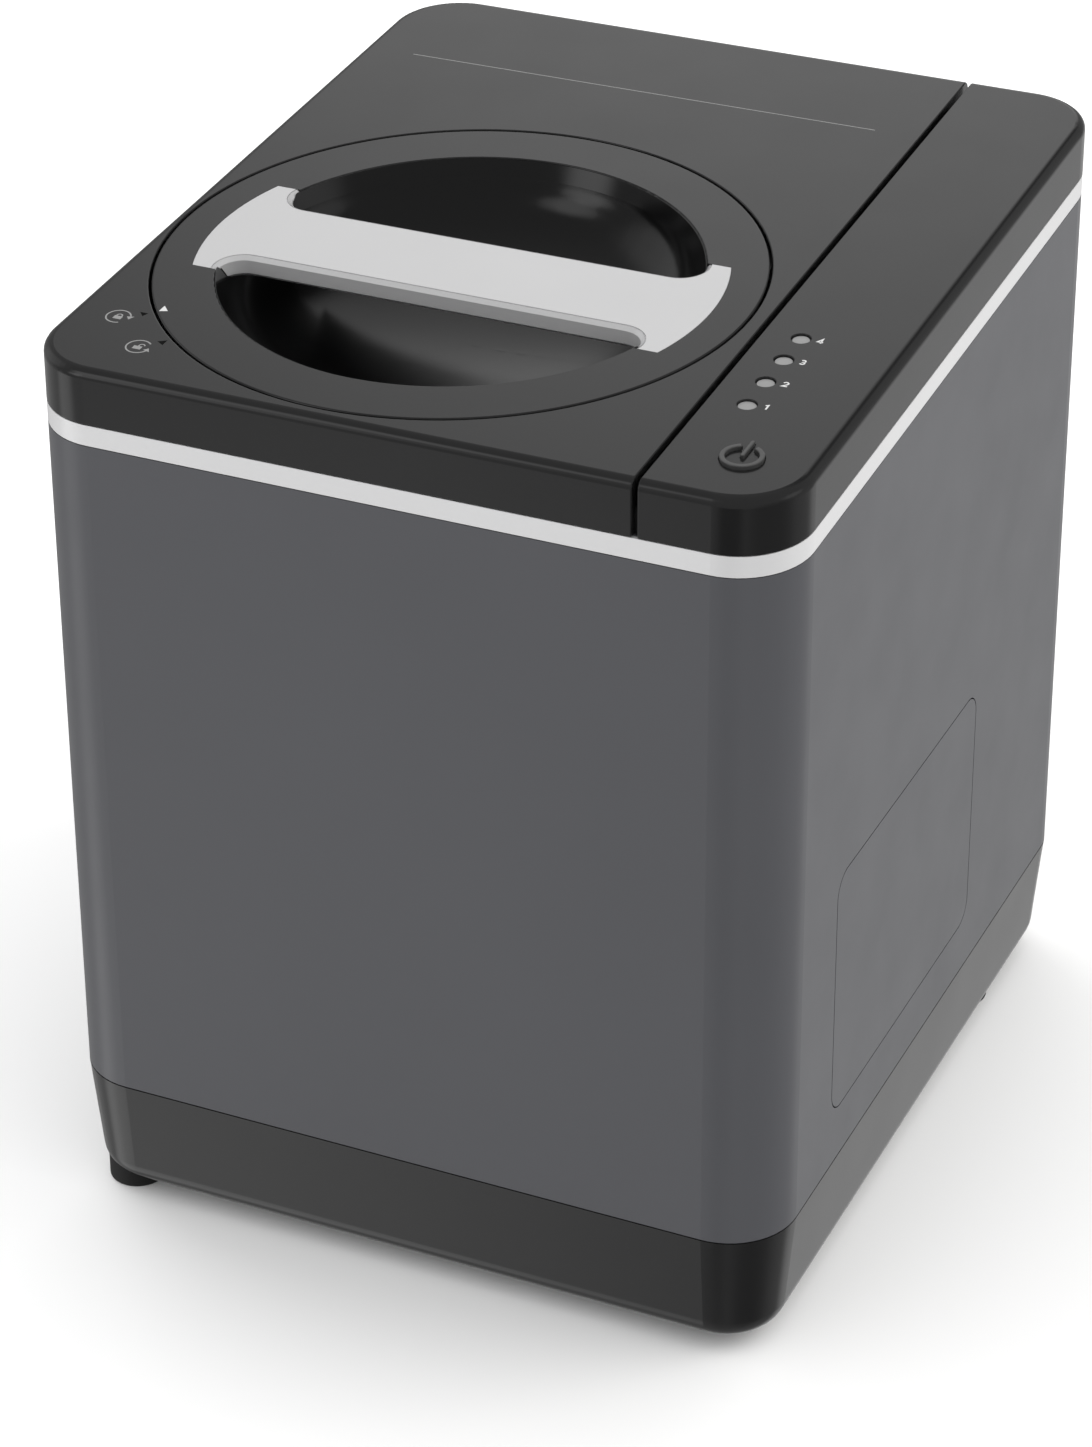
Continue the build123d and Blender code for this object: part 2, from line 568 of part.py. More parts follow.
with BuildPart() as lock_ring:
    with BuildSketch(LID.offset(-24)):
        Circle(107.4)
        with Locations(*[(EAR_R * cos(radians(a)), EAR_R * sin(radians(a))) for a in EAR_A]):
            Circle(5.5)
        Circle(96.6, mode=Mode.SUBTRACT)
    extrude(amount=11.8)
    # Seat for the lid's seal.
    with BuildSketch(LID.offset(-20)):
        Circle(101.8)
    extrude(amount=10, mode=Mode.SUBTRACT)
    # The very top is open for the lid's skirt.
    with BuildSketch(LID.offset(-12.6)):
        Circle(106.1)
    extrude(amount=5, mode=Mode.SUBTRACT)
    # Pockets that the lid's lugs turn in.
    for lug in LUG_A:
        with BuildSketch(LID.offset(-18.8)):
            with BuildLine():
                Polyline(*sector(130, lug - LUG_SPAN / 2 - 0.5, lug + LUG_SPAN / 2 + TWIST + 0.7), close=True)
            make_face()
            Circle(106.1, mode=Mode.INTERSECT)
            Circle(101.0, mode=Mode.SUBTRACT)
        extrude(amount=10, mode=Mode.SUBTRACT)
    with BuildSketch(LID.offset(-25)):
        with Locations(*[(EAR_R * cos(radians(a)), EAR_R * sin(radians(a))) for a in EAR_A]):
            Circle(1.65)
    extrude(amount=20, mode=Mode.SUBTRACT)
lock_ring.part.label = "lock_ring"
export_step(lock_ring.part, "parts/lock_ring.step")

with BuildPart() as lock_ring_screws:
    with BuildSketch(LID.offset(-26)):
        with Locations(*[(EAR_R * cos(radians(a)), EAR_R * sin(radians(a))) for a in EAR_A]):
            Circle(3)
    extrude(amount=2.0)
    with BuildSketch(LID.offset(-24.1)):
        with Locations(*[(EAR_R * cos(radians(a)), EAR_R * sin(radians(a))) for a in EAR_A]):
            Circle(1.2)
    extrude(amount=18)

with BuildPart() as lid_switch:
    with BuildSketch(LID.offset(-24)):
        with Locations(Location((119.5 * cos(radians(62)), 119.5 * sin(radians(62)), 0), (0, 0, 152))):
            Rectangle(20, 6.4)
    extrude(amount=10)
    with BuildSketch(LID.offset(-29)):
        with Locations(Location((119.5 * cos(radians(62)), 119.5 * sin(radians(62)), 0), (0, 0, 152))):
            with GridLocations(6, 0, 3, 1):
                Rectangle(0.8, 3.2)
    extrude(amount=5.5)
lid_switch.part.label = "lid_switch"
export_step(lid_switch.part, "parts/lid_switch.step")

# =============================================================== bucket well
WELL_Z0 = 124.0
DUCT_Y0, DUCT_Y1, DUCT_Z0, DUCT_Z1 = -62.0, -26.0, 284.0, 304.0
with BuildPart() as bucket_well:
    with BuildSketch(axis_plane(WELL_Z0)):
        with Locations((AX, AY)):
            Circle(WELL_RI + WELL_T)
    extrude(amount=240)
    split(bisect_by=LID.offset(-24.1), keep=Keep.BOTTOM)
    # Rim flange under the lock ring.
    with BuildSketch(axis_plane(300)):
        with Locations((AX, AY)):
            Circle(102.5)
    extrude(amount=60)
    split(bisect_by=LID.offset(-24.1), keep=Keep.BOTTOM)
with BuildPart() as rim_trim:
    with BuildSketch(axis_plane(280)):
        with Locations((AX, AY)):
            Circle(120)
            Circle(WELL_RI + WELL_T, mode=Mode.SUBTRACT)
    extrude(amount=80)
    split(bisect_by=LID.offset(-25.8), keep=Keep.BOTTOM)
with BuildPart() as well_done:
    add(bucket_well.part)
    add(rim_trim.part, mode=Mode.SUBTRACT)
    with BuildSketch(axis_plane(WELL_Z0 + 1.5)):
        with Locations((AX, AY)):
            Circle(WELL_RI)
    extrude(amount=240, mode=Mode.SUBTRACT)
    with BuildSketch(axis_plane(WELL_Z0 - 1)):
        with Locations((AX, AY)):
            Circle(70)
    extrude(amount=10, mode=Mode.SUBTRACT)
    # Steam port towards the intake duct.
    with BuildSketch(Plane.YZ.offset(AX + 60)):
        with Locations(((DUCT_Y0 + DUCT_Y1) / 2, (DUCT_Z0 + DUCT_Z1) / 2)):
            RectangleRounded(26, 11, 3)
    extrude(amount=60, mode=Mode.SUBTRACT)
well_done.part.label = "bucket_well"
export_step(well_done.part, "parts/bucket_well.step")

with BuildPart() as well_insulation:
    with BuildSketch(axis_plane(132)):
        with Locations((AX, AY)):
            Circle(102.8)
            Circle(WELL_RI + WELL_T + 0.1, mode=Mode.SUBTRACT)
    extrude(amount=178)
    with BuildSketch(Plane.YZ.offset(AX + 60)):
        with Locations(((DUCT_Y0 + DUCT_Y1) / 2, (DUCT_Z0 + DUCT_Z1) / 2)):
            Rectangle(DUCT_Y1 - DUCT_Y0 + 2, DUCT_Z1 - DUCT_Z0 + 2)
    extrude(amount=60, mode=Mode.SUBTRACT)
well_insulation.part.label = "well_insulation"
export_step(well_insulation.part, "parts/well_insulation.step")

with BuildPart() as heater_plate:
    with BuildSketch(axis_plane(WELL_Z0 + 1.5)):
        with Locations((AX, AY)):
            Circle(78)
            Circle(18, mode=Mode.SUBTRACT)
    extrude(amount=BUCKET_Z0 - WELL_Z0 - 1.5)
    # Groove for the heating rod.
    with BuildSketch(Plane.XZ.offset(-AY)):
        with Locations((AX + 50, WELL_Z0 + 0.6)):
            Circle(3.5)
    revolve(axis=Axis((AX, AY, 0), (0, 0, 1)), revolution_arc=360, mode=Mode.SUBTRACT)
heater_plate.part.label = "heater_plate"
export_step(heater_plate.part, "parts/heater_plate.step")

with BuildPart() as heater_element:
    with BuildSketch(Plane.XZ.offset(-AY)):
        with Locations((AX + 50, WELL_Z0 + 0.6)):
            Circle(3.3)
    revolve(axis=Axis((AX, AY, 0), (0, 0, 1)), revolution_arc=325)
    with BuildSketch(axis_plane(WELL_Z0 - 7)):
        with Locations((AX + 50, AY), (AX + 50 * cos(radians(325)), AY + 50 * sin(radians(325)))):
            Circle(3.0)
    extrude(amount=8)
heater_element.part.label = "heater_element"
export_step(heater_element.part, "parts/heater_element.step")

with BuildPart() as temperature_sensor:
    with BuildSketch(axis_plane(WELL_Z0 - 4.5)):
        with Locations((AX - 31, AY)):
            Circle(8)
    extrude(amount=6)
    with BuildSketch(axis_plane(WELL_Z0 - 8.5)):
        with Locations((AX - 31, AY - 4), (AX - 31, AY + 4)):
            Rectangle(5, 0.8)
    extrude(amount=4.5)
temperature_sensor.part.label = "temperature_sensor"
export_step(temperature_sensor.part, "parts/temperature_sensor.step")

# ============================================================ support frame
FRAME_Z = 76.0
with BuildPart() as support_frame:
    with BuildSketch(axis_plane(FRAME_Z)):
        with Locations((AX, -20)):
            RectangleRounded(136, 196, 8)
        with Locations((AX, MY)):
            Circle(28, mode=Mode.SUBTRACT)
        with Locations((AX, AY)):
            Circle(20, mode=Mode.SUBTRACT)
    extrude(amount=2)
    # Folded-down legs that stand in the tray.
    with BuildSketch(axis_plane(BASE_Z + 2.6)):
        with Locations((AX, -20)):
            with GridLocations(134, 150, 2, 2):
                Rectangle(2, 26)
            with GridLocations(124, 150, 2, 2):
                Rectangle(12, 2)
    extrude(amount=FRAME_Z - BASE_Z - 2.6 + 1)
    # Studs that carry the well.
    with BuildSketch(axis_plane(FRAME_Z + 1)):
        with Locations((AX, AY)):
            with PolarLocations(83, 4, start_angle=45):
                Circle(4)
    extrude(amount=WELL_Z0 - FRAME_Z - 1)
support_frame.part.label = "support_frame"
export_step(support_frame.part, "parts/support_frame.step")

# ============================================================== drive train
GB_Z0, GB_Z1 = 78.0, 112.0
EARS = [(AX + 48, AY - 16), (AX - 48, AY - 16), (AX + 40, AY + 38), (AX - 40, AY + 38), (AX + 20, MY + 8), (AX - 20, MY + 8)]
with BuildPart() as gearbox_housing:
    with BuildSketch(axis_plane(GB_Z0)):
        with Locations((AX, AY)):
            Circle(49)
        with Locations((AX, IY)):
            Circle(33)
        with Locations((AX, MY)):
            Circle(14)
        with Locations(*EARS):
            Circle(5)
        make_hull()
    extrude(amount=GB_Z1 - GB_Z0)
    with BuildSketch(axis_plane(GB_Z0 + 3)):
        with Locations((AX, AY)):
            Circle(45.5)
        with Locations((AX, IY)):
            Circle(30.5)
        with Locations((AX, MY)):
            Circle(10.5)
        with Locations((AX, AY + 30)):
            Rectangle(50, 40)
    extrude(amount=GB_Z1 - GB_Z0, mode=Mode.SUBTRACT)
    # Boss of the lower output bearing, and of the idler pin.
    with BuildSketch(axis_plane(GB_Z0)):
        with Locations((AX, AY)):
            Circle(13)
    extrude(amount=7.5)
    with BuildSketch(axis_plane(GB_Z0)):
        with Locations((AX, IY)):
            Circle(7.5)
    extrude(amount=6)
    with BuildSketch(axis_plane(GB_Z0 - 1)):
        with Locations((AX, AY)):
            Circle(9.0)
        with Locations((AX, MY)):
            Circle(4.2)
        with Locations((AX, IY)):
            Circle(4.0)
    extrude(amount=40, mode=Mode.SUBTRACT)
    with BuildSketch(axis_plane(GB_Z1 - 20)):
        with Locations(*EARS):
            Circle(1.3)
    extrude(amount=30, mode=Mode.SUBTRACT)
gearbox_housing.part.label = "gearbox_housing"
export_step(gearbox_housing.part, "parts/gearbox_housing.step")

with BuildPart() as gearbox_cover:
    with BuildSketch(axis_plane(GB_Z1)):
        with Locations((AX, AY)):
            Circle(49)
        with Locations((AX, IY)):
            Circle(33)
        with Locations((AX, MY)):
            Circle(14)
        with Locations(*EARS):
            Circle(5)
        make_hull()
    extrude(amount=2.5)
    with BuildSketch(axis_plane(GB_Z1)):
        with Locations((AX, AY)):
            Circle(13)
    extrude(amount=6)
    with BuildSketch(axis_plane(GB_Z1)):
        with Locations((AX, IY)):
            Circle(7.5)
    extrude(amount=4.5)
    with BuildSketch(axis_plane(GB_Z1 - 1)):
        with Locations((AX, AY)):
            Circle(9.0)
        with Locations(*EARS):
            Circle(1.65)
    extrude(amount=12, mode=Mode.SUBTRACT)
    with BuildSketch(axis_plane(GB_Z1 - 1)):
        with Locations((AX, IY)):
            Circle(4.0)
    extrude(amount=3.5, mode=Mode.SUBTRACT)
gearbox_cover.part.label = "gearbox_cover"
export_step(gearbox_cover.part, "parts/gearbox_cover.step")

with BuildPart() as gearbox_screws:
    with BuildSketch(axis_plane(GB_Z1 + 2.5)):
        with Locations(*EARS):
            Circle(2.9)
    extrude(amount=2)
    with BuildSketch(axis_plane(GB_Z1 - 12)):
        with Locations(*EARS):
            Circle(1.25)
    extrude(amount=15)

with BuildPart() as output_bearings:
    with BuildSketch(axis_plane(GB_Z0 + 0.2)):
        with Locations((AX, AY)):
            Circle(9.0)
            Circle(6.06, mode=Mode.SUBTRACT)
    extrude(amount=8)
    with BuildSketch(axis_plane(GB_Z1 - 1.5)):
        with Locations((AX, AY)):
            Circle(9.0)
            Circle(6.06, mode=Mode.SUBTRACT)
    extrude(amount=8)
output_bearings.part.label = "output_bearings"
export_step(output_bearings.part, "parts/output_bearings.step")

with BuildPart() as idler_pin:
    with BuildSketch(axis_plane(GB_Z0 + 0.2)):
        with Locations((AX, IY)):
            Circle(4.0)
    extrude(amount=GB_Z1 + 2.0 - GB_Z0 - 0.2)
idler_pin.part.label = "idler_pin"
export_step(idler_pin.part, "parts/idler_pin.step")

with BuildPart() as output_shaft:
    with BuildSketch(axis_plane(GB_Z0 + 0.6)):
        with Locations((AX, AY)):
            Circle(6.0)
    extrude(amount=138.0 - GB_Z0 - 0.6)
output_shaft.part.label = "output_shaft"
export_step(output_shaft.part, "parts/output_shaft.step")

with BuildPart() as output_gear:
    with BuildSketch(axis_plane(97)):
        with BuildLine():
            Polyline(*gear_points(M_OUT, T_OUT, (AX, AY), 90), close=True)
        make_face()
    extrude(amount=10)
    # Web is thinned between hub and rim.
    for z in (97, 105):
        with BuildSketch(axis_plane(z)):
            with Locations((AX, AY)):
                Circle(36)
                Circle(15, mode=Mode.SUBTRACT)
        extrude(amount=2, mode=Mode.SUBTRACT)
    with BuildSketch(axis_plane(90)):
        with Locations((AX, AY)):
            Circle(12)
    extrude(amount=19)
    with BuildSketch(axis_plane(89)):
        with Locations((AX, AY)):
            Circle(6.0)
    extrude(amount=30, mode=Mode.SUBTRACT)
output_gear.part.label = "output_gear"
export_step(output_gear.part, "parts/output_gear.step")

with BuildPart() as drive_dog:
    with BuildSketch(axis_plane(121)):
        with Locations((AX, AY)):
            Circle(13)
    extrude(amount=4)
    with BuildSketch(axis_plane(124)):
        with Locations((AX, AY)):
            RegularPolygon(radius=10.0, side_count=6, major_radius=False)
    extrude(amount=16)
    chamfer(drive_dog.faces().sort_by(Axis.Z)[-1].edges(), length=1.2)
    with BuildSketch(axis_plane(120)):
        with Locations((AX, AY)):
            Circle(6.0)
    extrude(amount=18.0, mode=Mode.SUBTRACT)
drive_dog.part.label = "drive_dog"
export_step(drive_dog.part, "parts/drive_dog.step")

with BuildPart() as idler_gear:
    with BuildSketch(axis_plane(85.5)):
        with BuildLine():
            Polyline(*gear_points(M_IDLE, T_IDLE, (AX, IY), 90), close=True)
        make_face()
    extrude(amount=8)
    with BuildSketch(axis_plane(93)):
        with Locations((AX, IY)):
            Circle(8.3)
    extrude(amount=5)
    with BuildSketch(axis_plane(96.5)):
        with BuildLine():
            Polyline(*gear_points(M_OUT, T_PIN, (AX, IY), 270 + 180 / T_PIN), close=True)
        make_face()
    extrude(amount=11.5)
    with BuildSketch(axis_plane(80)):
        with Locations((AX, IY)):
            Circle(4.06)
    extrude(amount=40, mode=Mode.SUBTRACT)
idler_gear.part.label = "idler_gear"
export_step(idler_gear.part, "parts/idler_gear.step")

with BuildPart() as motor_pinion:
    with BuildSketch(axis_plane(85)):
        with BuildLine():
            Polyline(*gear_points(M_IDLE, T_PIN, (AX, MY), 270 + 180 / T_PIN), close=True)
        make_face()
    extrude(amount=9)
    with BuildSketch(axis_plane(80)):
        with Locations((AX, MY)):
            Circle(2.5)
    extrude(amount=40, mode=Mode.SUBTRACT)
motor_pinion.part.label = "motor_pinion"
export_step(motor_pinion.part, "parts/motor_pinion.step")

MOTOR_R, MOTOR_Z0 = 26.0, 22.0
with BuildPart() as motor_shaft:
    with BuildSketch(axis_plane(MOTOR_Z0 + 6)):
        with Locations((AX, MY)):
            Circle(2.5)
    extrude(amount=96 - MOTOR_Z0 - 6)
    # Wound armature inside the can.
    with BuildSketch(axis_plane(MOTOR_Z0 + 14)):
        with Locations((AX, MY)):
            Circle(19)
    extrude(amount=34)
motor_shaft.part.label = "motor_shaft"
export_step(motor_shaft.part, "parts/motor_shaft.step")

with BuildPart() as motor_can:
    with BuildSketch(axis_plane(MOTOR_Z0)):
        with Locations((AX, MY)):
            Circle(MOTOR_R)
    extrude(amount=GB_Z0 - MOTOR_Z0)
    fillet(motor_can.faces().sort_by(Axis.Z)[-1].edges(), radius=2.5)
    with BuildSketch(axis_plane(MOTOR_Z0 - 1)):
        with Locations((AX, MY)):
            Circle(MOTOR_R - 2)
    extrude(amount=GB_Z0 - MOTOR_Z0 - 2, mode=Mode.SUBTRACT)
    with BuildSketch(axis_plane(GB_Z0 - 8)):
        with Locations((AX, MY)):
            Circle(2.56)
    extrude(amount=12, mode=Mode.SUBTRACT)
    # Magnets lining the can, as two arcs.
    with BuildSketch(axis_plane(MOTOR_Z0 + 12)):
        with Locations((AX, MY)):
            Circle(MOTOR_R - 1.5)
            Circle(20.5, mode=Mode.SUBTRACT)
        with Locations((AX, MY)):
            Rectangle(14, 80, mode=Mode.SUBTRACT)
    extrude(amount=38)
motor_can.part.label = "motor_can"
export_step(motor_can.part, "parts/motor_can.step")

with BuildPart() as motor_end_cap:
    with BuildSketch(axis_plane(MOTOR_Z0 - 6)):
        with Locations((AX, MY)):
            Circle(MOTOR_R)
    extrude(amount=6)
    with BuildSketch(axis_plane(MOTOR_Z0 - 0.5)):
        with Locations((AX, MY)):
            Circle(MOTOR_R - 2.1)
    extrude(amount=4)
    with BuildSketch(axis_plane(MOTOR_Z0)):
        with Locations((AX, MY)):
            Circle(7)
    extrude(amount=12)
    with BuildSketch(axis_plane(MOTOR_Z0 + 4)):
        with Locations((AX, MY)):
            Circle(2.56)
    extrude(amount=20, mode=Mode.SUBTRACT)
    with BuildSketch(axis_plane(MOTOR_Z0 - 11)):
        with Locations((AX - 12, MY), (AX + 12, MY)):
            Rectangle(0.8, 5)
    extrude(amount=6)
motor_end_cap.part.label = "motor_end_cap"
export_step(motor_end_cap.part, "parts/motor_end_cap.step")

# ============================================================== electronics
with BuildPart() as power_board:
    with BuildSketch(axis_plane(24.0)):
        with Locations((BOARD_X, BOARD_Y)):
            RectangleRounded(70, 120, 2)
            with GridLocations(62, 112, 2, 2):
                Circle(1.6, mode=Mode.SUBTRACT)
    extrude(amount=1.6)
    # Relays, connectors and the heat sink.
    with BuildSketch(axis_plane(25.5)):
        with Locations((BOARD_X + 18, BOARD_Y + 38)):
            Rectangle(16, 28)
    extrude(amount=16)
    with BuildSketch(axis_plane(25.5)):
        with Locations((BOARD_X - 24, BOARD_Y + 10)):
            Rectangle(12, 40)
    extrude(amount=9)
    with BuildSketch(axis_plane(25.5)):
        with Locations((BOARD_X + 24, BOARD_Y - 24)):
            Rectangle(3, 44)
            with GridLocations(0, 8, 1, 6):
                Rectangle(12, 1.6)
    extrude(amount=26)
power_board.part.label = "power_board"
export_step(power_board.part, "parts/power_board.step")

with BuildPart() as board_capacitors:
    with BuildSketch(axis_plane(25.6)):
        with Locations((BOARD_X - 10, BOARD_Y - 44), (BOARD_X - 10, BOARD_Y - 18)):
            Circle(10)
    extrude(amount=30)
    fillet(board_capacitors.faces().sort_by(Axis.Z)[-2:].edges(), radius=1.2)
board_capacitors.part.label = "board_capacitors"
export_step(board_capacitors.part, "parts/board_capacitors.step")

with BuildPart() as board_transformer:
    with BuildSketch(axis_plane(25.6)):
        with Locations((BOARD_X - 6, BOARD_Y + 30)):
            Rectangle(24, 32)
    extrude(amount=28)
    chamfer(board_transformer.faces().sort_by(Axis.Z)[-1].edges(), length=1.5)
board_transformer.part.label = "board_transformer"
export_step(board_transformer.part, "parts/board_transformer.step")

with BuildPart() as base_screws:
    with BuildSketch(axis_plane(BASE_Z + 3.0)):
        with GridLocations(SCREW_DX, SCREW_DY, 2, 2):
            Circle(3.2)
    extrude(amount=2.4)
    with BuildSketch(axis_plane(BASE_Z + 5.3)):
        with GridLocations(SCREW_DX, SCREW_DY, 2, 2):
            Circle(1.45)
    extrude(amount=34)
    with BuildSketch(axis_plane(BASE_Z + 2)):
        with GridLocations(SCREW_DX, SCREW_DY, 2, 2):
            Rectangle(4, 0.9)
            Rectangle(0.9, 4)
    extrude(amount=2.2, mode=Mode.SUBTRACT)

# All the screws that stay in the body: rear panel, lock ring, gearbox, base.
with BuildPart() as case_screws:
    add(rear_screws.part)
    add(lock_ring_screws.part)
    add(gearbox_screws.part)
    add(base_screws.part)
case_screws.part.label = "case_screws"
export_step(case_screws.part, "parts/case_screws.step")

# ================================================================ air system
BAY_X0, BAY_X1 = 77.0, 137.0
with BuildPart() as filter_bay:
    with BuildSketch(Plane.YZ.offset(BAY_X0)):
        with Locations((COVER_CY, COVER_CZ)):
            RectangleRounded(138, 94, 7)
    extrude(amount=BAY_X1 - BAY_X0)
    with BuildSketch(Plane.YZ.offset(BAY_X1 - 2.5)):
        with Locations((COVER_CY, COVER_CZ)):
            RectangleRounded(158, 114, 8)
    extrude(amount=2.5)
    with BuildSketch(Plane.YZ.offset(BAY_X0 + 2)):
        with Locations((COVER_CY, COVER_CZ)):
            RectangleRounded(134, 90, 5)
    extrude(amount=80, mode=Mode.SUBTRACT)
    # Bulkhead that holds the inner ends of the two cartridges.
    with BuildSketch(Plane.YZ.offset(97)):
        with Locations((COVER_CY, COVER_CZ)):
            Rectangle(135, 91)
        with Locations((COVER_CY - FILTER_DY, COVER_CZ), (COVER_CY + FILTER_DY, COVER_CZ)):
            Circle(FILTER_R + 0.3, mode=Mode.SUBTRACT)
    extrude(amount=2)
    # Intake port on top, exhaust port in the rear wall.
    with BuildSketch(axis_plane(COVER_CZ + 40)):
        with Locations((115, (DUCT_Y0 + DUCT_Y1) / 2)):
            Rectangle(24, 30)
    extrude(amount=10, mode=Mode.SUBTRACT)
    with BuildSketch(Plane.XZ.offset(-COVER_CY - 60)):
        with Locations((88, COVER_CZ)):
            Rectangle(14, 68)
    extrude(amount=-15, mode=Mode.SUBTRACT)
filter_bay.part.label = "filter_bay"
export_step(filter_bay.part, "parts/filter_bay.step")

for tag, sign in (("front", -1), ("rear", 1)):
    with BuildPart() as cartridge:
        with BuildSketch(Plane.YZ.offset(FILTER_X0)):
            with Locations((COVER_CY + sign * FILTER_DY, COVER_CZ)):
                Circle(FILTER_R)
        extrude(amount=FILTER_X1 - FILTER_X0)
        # Rolled rims at both ends and a perforated outer face.
        chamfer(cartridge.faces().sort_by(Axis.X)[-1].edges(), length=1.5)
        with BuildSketch(Plane.YZ.offset(FILTER_X1 - 1.5)):
            with Locations((COVER_CY + sign * FILTER_DY, COVER_CZ)):
                Circle(FILTER_R - 3.5)
        extrude(amount=2, mode=Mode.SUBTRACT)
        with BuildSketch(Plane.YZ.offset(FILTER_X1 - 2)):
            with Locations((COVER_CY + sign * FILTER_DY, COVER_CZ)):
                Rectangle(30, 7)
        extrude(amount=2)
    cartridge.part.label = "filter_cartridge_" + tag
    export_step(cartridge.part, "parts/filter_cartridge_" + tag + ".step")

with BuildPart() as filter_cover:
    with BuildSketch(Plane.YZ.offset(W / 2 - 2.7)):
        with Locations((COVER_CY, COVER_CZ)):
            RectangleRounded(COVER_Y1 - COVER_Y0, COVER_Z1 - COVER_Z0, COVER_R)
    extrude(amount=2.7)
    # Rim that plugs into the bay, and the cartridge stops.
    with BuildSketch(Plane.YZ.offset(W / 2 - 8.7)):
        with Locations((COVER_CY, COVER_CZ)):
            RectangleRounded(133.4, 89.4, 4.7)
            RectangleRounded(129.4, 85.4, 3, mode=Mode.SUBTRACT)
    extrude(amount=6.2)
filter_cover.part.label = "filter_cover"
export_step(filter_cover.part, "parts/filter_cover.step")

with BuildPart() as air_duct:
    with BuildSketch(axis_plane(COVER_CZ + 47)):
        with Locations((115, (DUCT_Y0 + DUCT_Y1) / 2)):
            Rectangle(30, DUCT_Y1 - DUCT_Y0)
    extrude(amount=DUCT_Z1 - COVER_CZ - 47)
    with BuildSketch(axis_plane(DUCT_Z0)):
        with Locations((97, (DUCT_Y0 + DUCT_Y1) / 2)):
            Rectangle(66, DUCT_Y1 - DUCT_Y0)
    extrude(amount=DUCT_Z1 - DUCT_Z0)
    with BuildSketch(axis_plane(COVER_CZ + 46)):
        with Locations((115, (DUCT_Y0 + DUCT_Y1) / 2)):
            Rectangle(26, DUCT_Y1 - DUCT_Y0 - 4)
    extrude(amount=DUCT_Z1 - COVER_CZ - 48, mode=Mode.SUBTRACT)
    with BuildSketch(axis_plane(DUCT_Z0 + 2)):
        with Locations((95, (DUCT_Y0 + DUCT_Y1) / 2)):
            Rectangle(66, DUCT_Y1 - DUCT_Y0 - 4)
    extrude(amount=DUCT_Z1 - DUCT_Z0 - 4, mode=Mode.SUBTRACT)
    with BuildSketch(axis_plane(250)):
        with Locations((AX, AY)):
            Circle(WELL_RI + WELL_T + 0.2)
    extrude(amount=100, mode=Mode.SUBTRACT)
air_duct.part.label = "air_duct"
export_step(air_duct.part, "parts/air_duct.step")

BAY_REAR = COVER_CY + 69
with BuildPart() as exhaust_duct:
    with BuildSketch(Plane.XZ.offset(-BAY_REAR)):
        with Locations((89, COVER_CZ)):
            Rectangle(20, 74)
    with BuildSketch(Plane.XZ.offset(-129.8)):
        with Locations((FAN_X, FAN_Z)):
            Rectangle(78, 78)
    loft()
    with BuildSketch(Plane.XZ.offset(-BAY_REAR)):
        with Locations((89, COVER_CZ)):
            Rectangle(16, 70)
    with BuildSketch(Plane.XZ.offset(-129.8)):
        with Locations((FAN_X, FAN_Z)):
            Rectangle(74, 74)
    loft(mode=Mode.SUBTRACT)
exhaust_duct.part.label = "exhaust_duct"
export_step(exhaust_duct.part, "parts/exhaust_duct.step")

with BuildPart() as fan_housing:
    with BuildSketch(Plane.XZ.offset(-155.2)):
        with Locations((FAN_X, FAN_Z)):
            RectangleRounded(80, 80, 4)
            Circle(37.5, mode=Mode.SUBTRACT)
            with GridLocations(71.5, 71.5, 2, 2):
                Circle(2.15, mode=Mode.SUBTRACT)
    extrude(amount=25.2)
    # Struts, stator plate and the pin that the rotor turns on.
    with BuildSketch(Plane.XZ.offset(-132.2)):
        with Locations((FAN_X, FAN_Z)):
            Circle(15)
            Rectangle(76.2, 5)
            Rectangle(5, 76.2)
    extrude(amount=2.2)
    with BuildSketch(Plane.XZ.offset(-132.0)):
        with Locations((FAN_X, FAN_Z)):
            Circle(2.0)
    extrude(amount=-17)
fan_housing.part.label = "fan_housing"
export_step(fan_housing.part, "parts/fan_housing.step")

with BuildPart() as fan_rotor:
    with BuildSketch(Plane.XZ.offset(-133.4)):
        with Locations((FAN_X, FAN_Z)):
            Circle(14.5)
    extrude(amount=-18.6)
    fillet(fan_rotor.faces().sort_by(Axis.Y)[-1].edges(), radius=2)
    for k in range(7):
        with BuildSketch(Plane(origin=(FAN_X + 13 * cos(2 * pi * k / 7), 142.8, FAN_Z + 13 * sin(2 * pi * k / 7)),
                               x_dir=(-sin(2 * pi * k / 7) * cos(radians(35)), sin(radians(35)), cos(2 * pi * k / 7) * cos(radians(35))),
                               z_dir=(cos(2 * pi * k / 7), 0, sin(2 * pi * k / 7)))):
            Rectangle(21, 1.8)
        extrude(amount=22)
    with BuildSketch(Plane.XZ.offset(-130)):
        with Locations((FAN_X, FAN_Z)):
            Circle(2.06)
    extrude(amount=-20, mode=Mode.SUBTRACT)
fan_rotor.part.label = "fan_rotor"
export_step(fan_rotor.part, "parts/fan_rotor.step")

